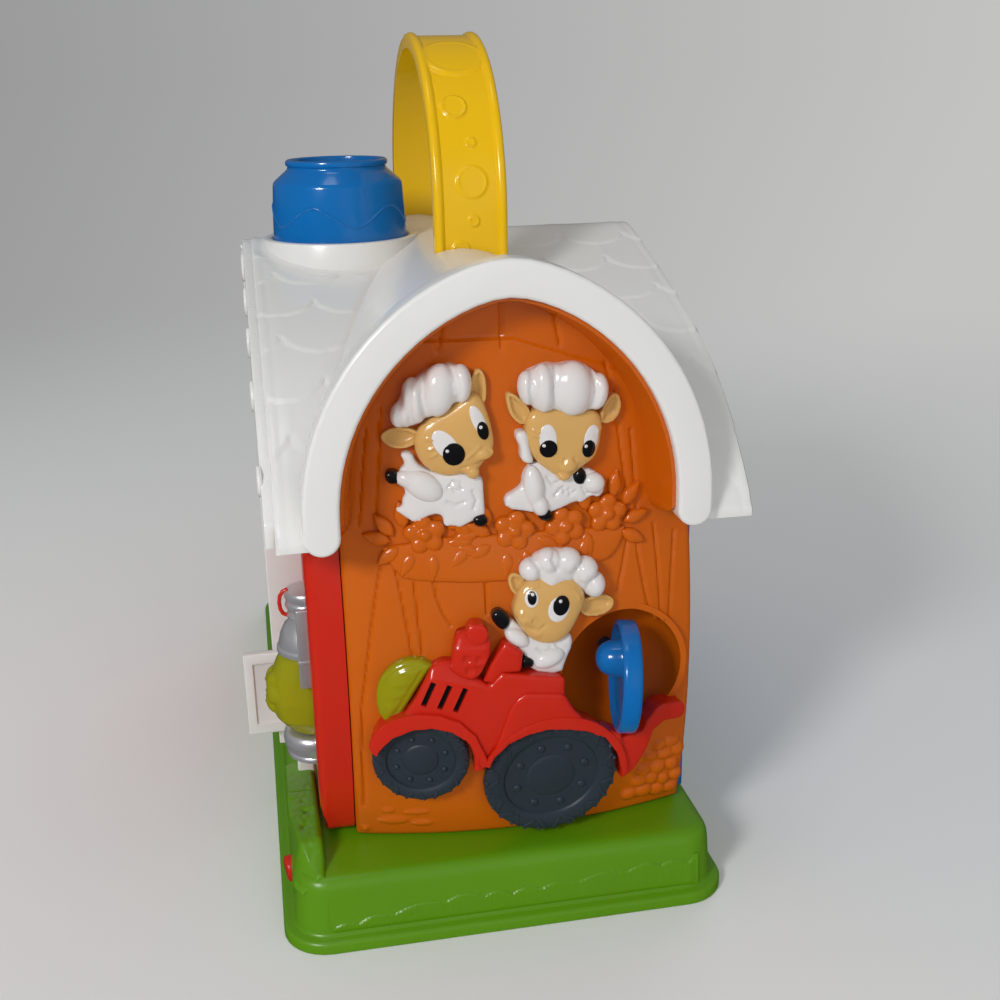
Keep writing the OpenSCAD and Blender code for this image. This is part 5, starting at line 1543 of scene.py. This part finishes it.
class BARN_OT_stage(bpy.types.Operator):
    """Set the floor, the soft lights and the camera"""

    bl_idname = "barn.stage"
    bl_label = "Stage"

    def execute(self, context):
        self.floor(context)
        self.lights(context)
        self.camera(context)
        context.scene.view_settings.view_transform = "Standard"
        return {"FINISHED"}

    def backdrop(self, tree, place, soft):
        """Tone of the paper, with painted shade that darkens it towards the far left, where the room's light
        falls off.
        """
        hue = bpy.context.scene.barn_colours
        size = add(tree, "ShaderNodeVectorMath", {0: place}, operation="LENGTH")
        reach = add(tree, "ShaderNodeMath", {0: size.outputs["Value"], 1: soft}, operation="ADD")
        lean = add(tree, "ShaderNodeVectorMath", {0: place, 1: (1.0, -0.38, 0.0)}, operation="DOT_PRODUCT")
        ratio = {0: lean.outputs["Value"], 1: reach.outputs[0]}
        share = add(tree, "ShaderNodeMath", ratio, operation="DIVIDE")
        span = {"Value": share.outputs[0], "From Min": -0.55, "From Max": 0.21}
        part = add(tree, "ShaderNodeMapRange", span)
        tones = {0: part.outputs["Result"], 6: (*hue.shade, 1), 7: (*hue.studio, 1)}
        return add(tree, "ShaderNodeMix", tones, data_type="RGBA").outputs[2]

    def floor(self, context):
        """Pale seamless floor that passes into the world's own tone far away."""
        rest_mode()
        bpy.ops.mesh.primitive_circle_add(vertices=96, radius=30, fill_type="NGON", location=(0, 0, -0.0002))
        obj = named("studio_floor")
        mat, tree = blank("paper_backdrop")
        spot = add(tree, "ShaderNodeTexCoord").outputs["Object"]
        paper = self.backdrop(tree, spot, 0.6)
        away = add(tree, "ShaderNodeVectorMath", {0: spot}, operation="LENGTH")
        span = {"Value": away.outputs["Value"], "From Min": 0.35, "From Max": 1.5}
        far = add(tree, "ShaderNodeMapRange", span, interpolation_type="SMOOTHSTEP")
        matte = add(tree, "ShaderNodeBsdfDiffuse", {"Color": (*context.scene.barn_colours.floor, 1)})
        # Far away the floor glows in the paper tone, with its painted shade towards the far left
        glow = add(tree, "ShaderNodeEmission", {"Color": paper, "Strength": 1.0})
        shades = {0: far.outputs["Result"], 1: matte.outputs[0], 2: glow.outputs[0]}
        both = add(tree, "ShaderNodeMixShader", shades)
        # Painted reflection: glossy rays see the floor as a flat dark tone, so that the mouldings keep their
        # deep colours
        shine = add(tree, "ShaderNodeLightPath").outputs["Is Glossy Ray"]
        dark = add(tree, "ShaderNodeEmission", {"Color": (0.03, 0.03, 0.03, 1)})
        ground = add(tree, "ShaderNodeMixShader", {0: shine, 1: both.outputs[0], 2: dark.outputs[0]})
        add(tree, "ShaderNodeOutputMaterial", {"Surface": ground.outputs[0]})
        obj.data.materials.append(mat)

    def lights(self, context):
        """Even soft room light, a small key from the front left for the highlights, and broad fills."""
        world = bpy.data.worlds.new("studio")
        context.scene.world = world
        world.use_nodes = True
        tree = world.node_tree
        tree.nodes.clear()
        path = add(tree, "ShaderNodeLightPath")
        rays = {0: path.outputs["Is Camera Ray"], 1: path.outputs["Is Transmission Ray"]}
        seen = add(tree, "ShaderNodeMath", rays, operation="MAXIMUM")
        sky = add(tree, "ShaderNodeBackground", {"Color": (0.95, 0.97, 1.0, 1), "Strength": 0.36})
        dim = add(tree, "ShaderNodeBackground", {"Color": (0.95, 0.97, 1.0, 1), "Strength": 0.12})
        # Camera rays see the paper tone, with its painted shade towards the far left
        paper = self.backdrop(tree, add(tree, "ShaderNodeTexCoord").outputs["Generated"], 0.0)
        back = add(tree, "ShaderNodeBackground", {"Color": paper, "Strength": 1.0})
        lit = {0: path.outputs["Is Glossy Ray"], 1: sky.outputs[0], 2: dim.outputs[0]}
        room = add(tree, "ShaderNodeMixShader", lit)
        both = add(tree, "ShaderNodeMixShader", {0: seen.outputs[0], 1: room.outputs[0], 2: back.outputs[0]})
        add(tree, "ShaderNodeOutputWorld", {"Surface": both.outputs[0]})
        lamps = (
            ("key", (-0.98, -1.22, 0.92), 0.34, 13.0),
            ("fill", (0.25, -1.60, 0.55), 1.0, 3.5),
            ("top", (-0.3, -0.25, 1.9), 0.5, 1.4),
            ("rear", (0.9, 1.5, 1.1), 1.2, 4.0),
        )
        for name, spot, wide, watts in lamps:
            rest_mode()
            bpy.ops.object.light_add(type="AREA", location=spot)
            lamp = bpy.context.object
            lamp.name = "lamp_" + name
            lamp.data.shape = "DISK"
            lamp.data.size = wide
            lamp.data.energy = watts
            lamp.visible_glossy = name in ("key", "top")
            aim = Vector((0, 0, 0.15)) - Vector(spot)
            lamp.rotation_euler = aim.to_track_quat("-Z", "Y").to_euler()

    def camera(self, context):
        """The photograph's view, worked out from its vanishing lines."""
        rest_mode()
        bpy.ops.object.camera_add()
        cam = bpy.context.object
        cam.name = "view_camera"
        cam.data.lens = CAMERA_LENS
        cam.data.sensor_width = CAMERA_SENSOR
        cam.data.clip_start, cam.data.clip_end = 0.01, 100.0
        pitch, yaw, roll = (math.radians(turn) for turn in (CAMERA_PITCH, CAMERA_YAW, CAMERA_ROLL))
        ahead = Vector((math.sin(yaw) * math.cos(pitch), math.cos(yaw) * math.cos(pitch), -math.sin(pitch)))
        right = Vector((math.cos(yaw), -math.sin(yaw), 0))
        up = right.cross(ahead)
        across = right * math.cos(roll) + up * math.sin(roll)
        upward = up * math.cos(roll) - right * math.sin(roll)
        turn = Matrix((across, upward, -ahead)).transposed().to_4x4()
        cam.matrix_world = Matrix.Translation(Vector(CAMERA_AT) * MM) @ turn
        context.scene.camera = cam


class BARN_PT_panel(bpy.types.Panel):
    """Lists the steps that dress the barn"""

    bl_label = "Farm barn"
    bl_idname = "BARN_PT_panel"
    bl_space_type = "VIEW_3D"
    bl_region_type = "UI"
    bl_category = "Barn"

    def draw(self, context):
        for step in STEPS:
            self.layout.operator(step.bl_idname)
        for group in (context.scene.barn_sizes, context.scene.barn_colours):
            box = self.layout.box()
            for key in group.__annotations__:
                box.prop(group, key)


STEPS = (
    BARN_OT_stage,
    BARN_OT_base,
    BARN_OT_walls,
    BARN_OT_panels,
    BARN_OT_roof,
    BARN_OT_handle,
    BARN_OT_chimney,
    BARN_OT_tractor,
    BARN_OT_lambs,
    BARN_OT_knob,
    BARN_OT_lantern,
    BARN_OT_fittings,
)
CLASSES = (BarnColours, BarnSizes, *STEPS, BARN_PT_panel)


def register():
    for cls in CLASSES:
        bpy.utils.register_class(cls)
    bpy.types.Scene.barn_colours = bpy.props.PointerProperty(type=BarnColours)
    bpy.types.Scene.barn_sizes = bpy.props.PointerProperty(type=BarnSizes)


def unregister():
    del bpy.types.Scene.barn_sizes
    del bpy.types.Scene.barn_colours
    for cls in reversed(CLASSES):
        bpy.utils.unregister_class(cls)


def main():
    """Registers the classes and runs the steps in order."""
    register()
    for step in STEPS:
        group, call = step.bl_idname.split(".")
        getattr(getattr(bpy.ops, group), call)()
    rest_mode()


if __name__ == "__main__":
    main()
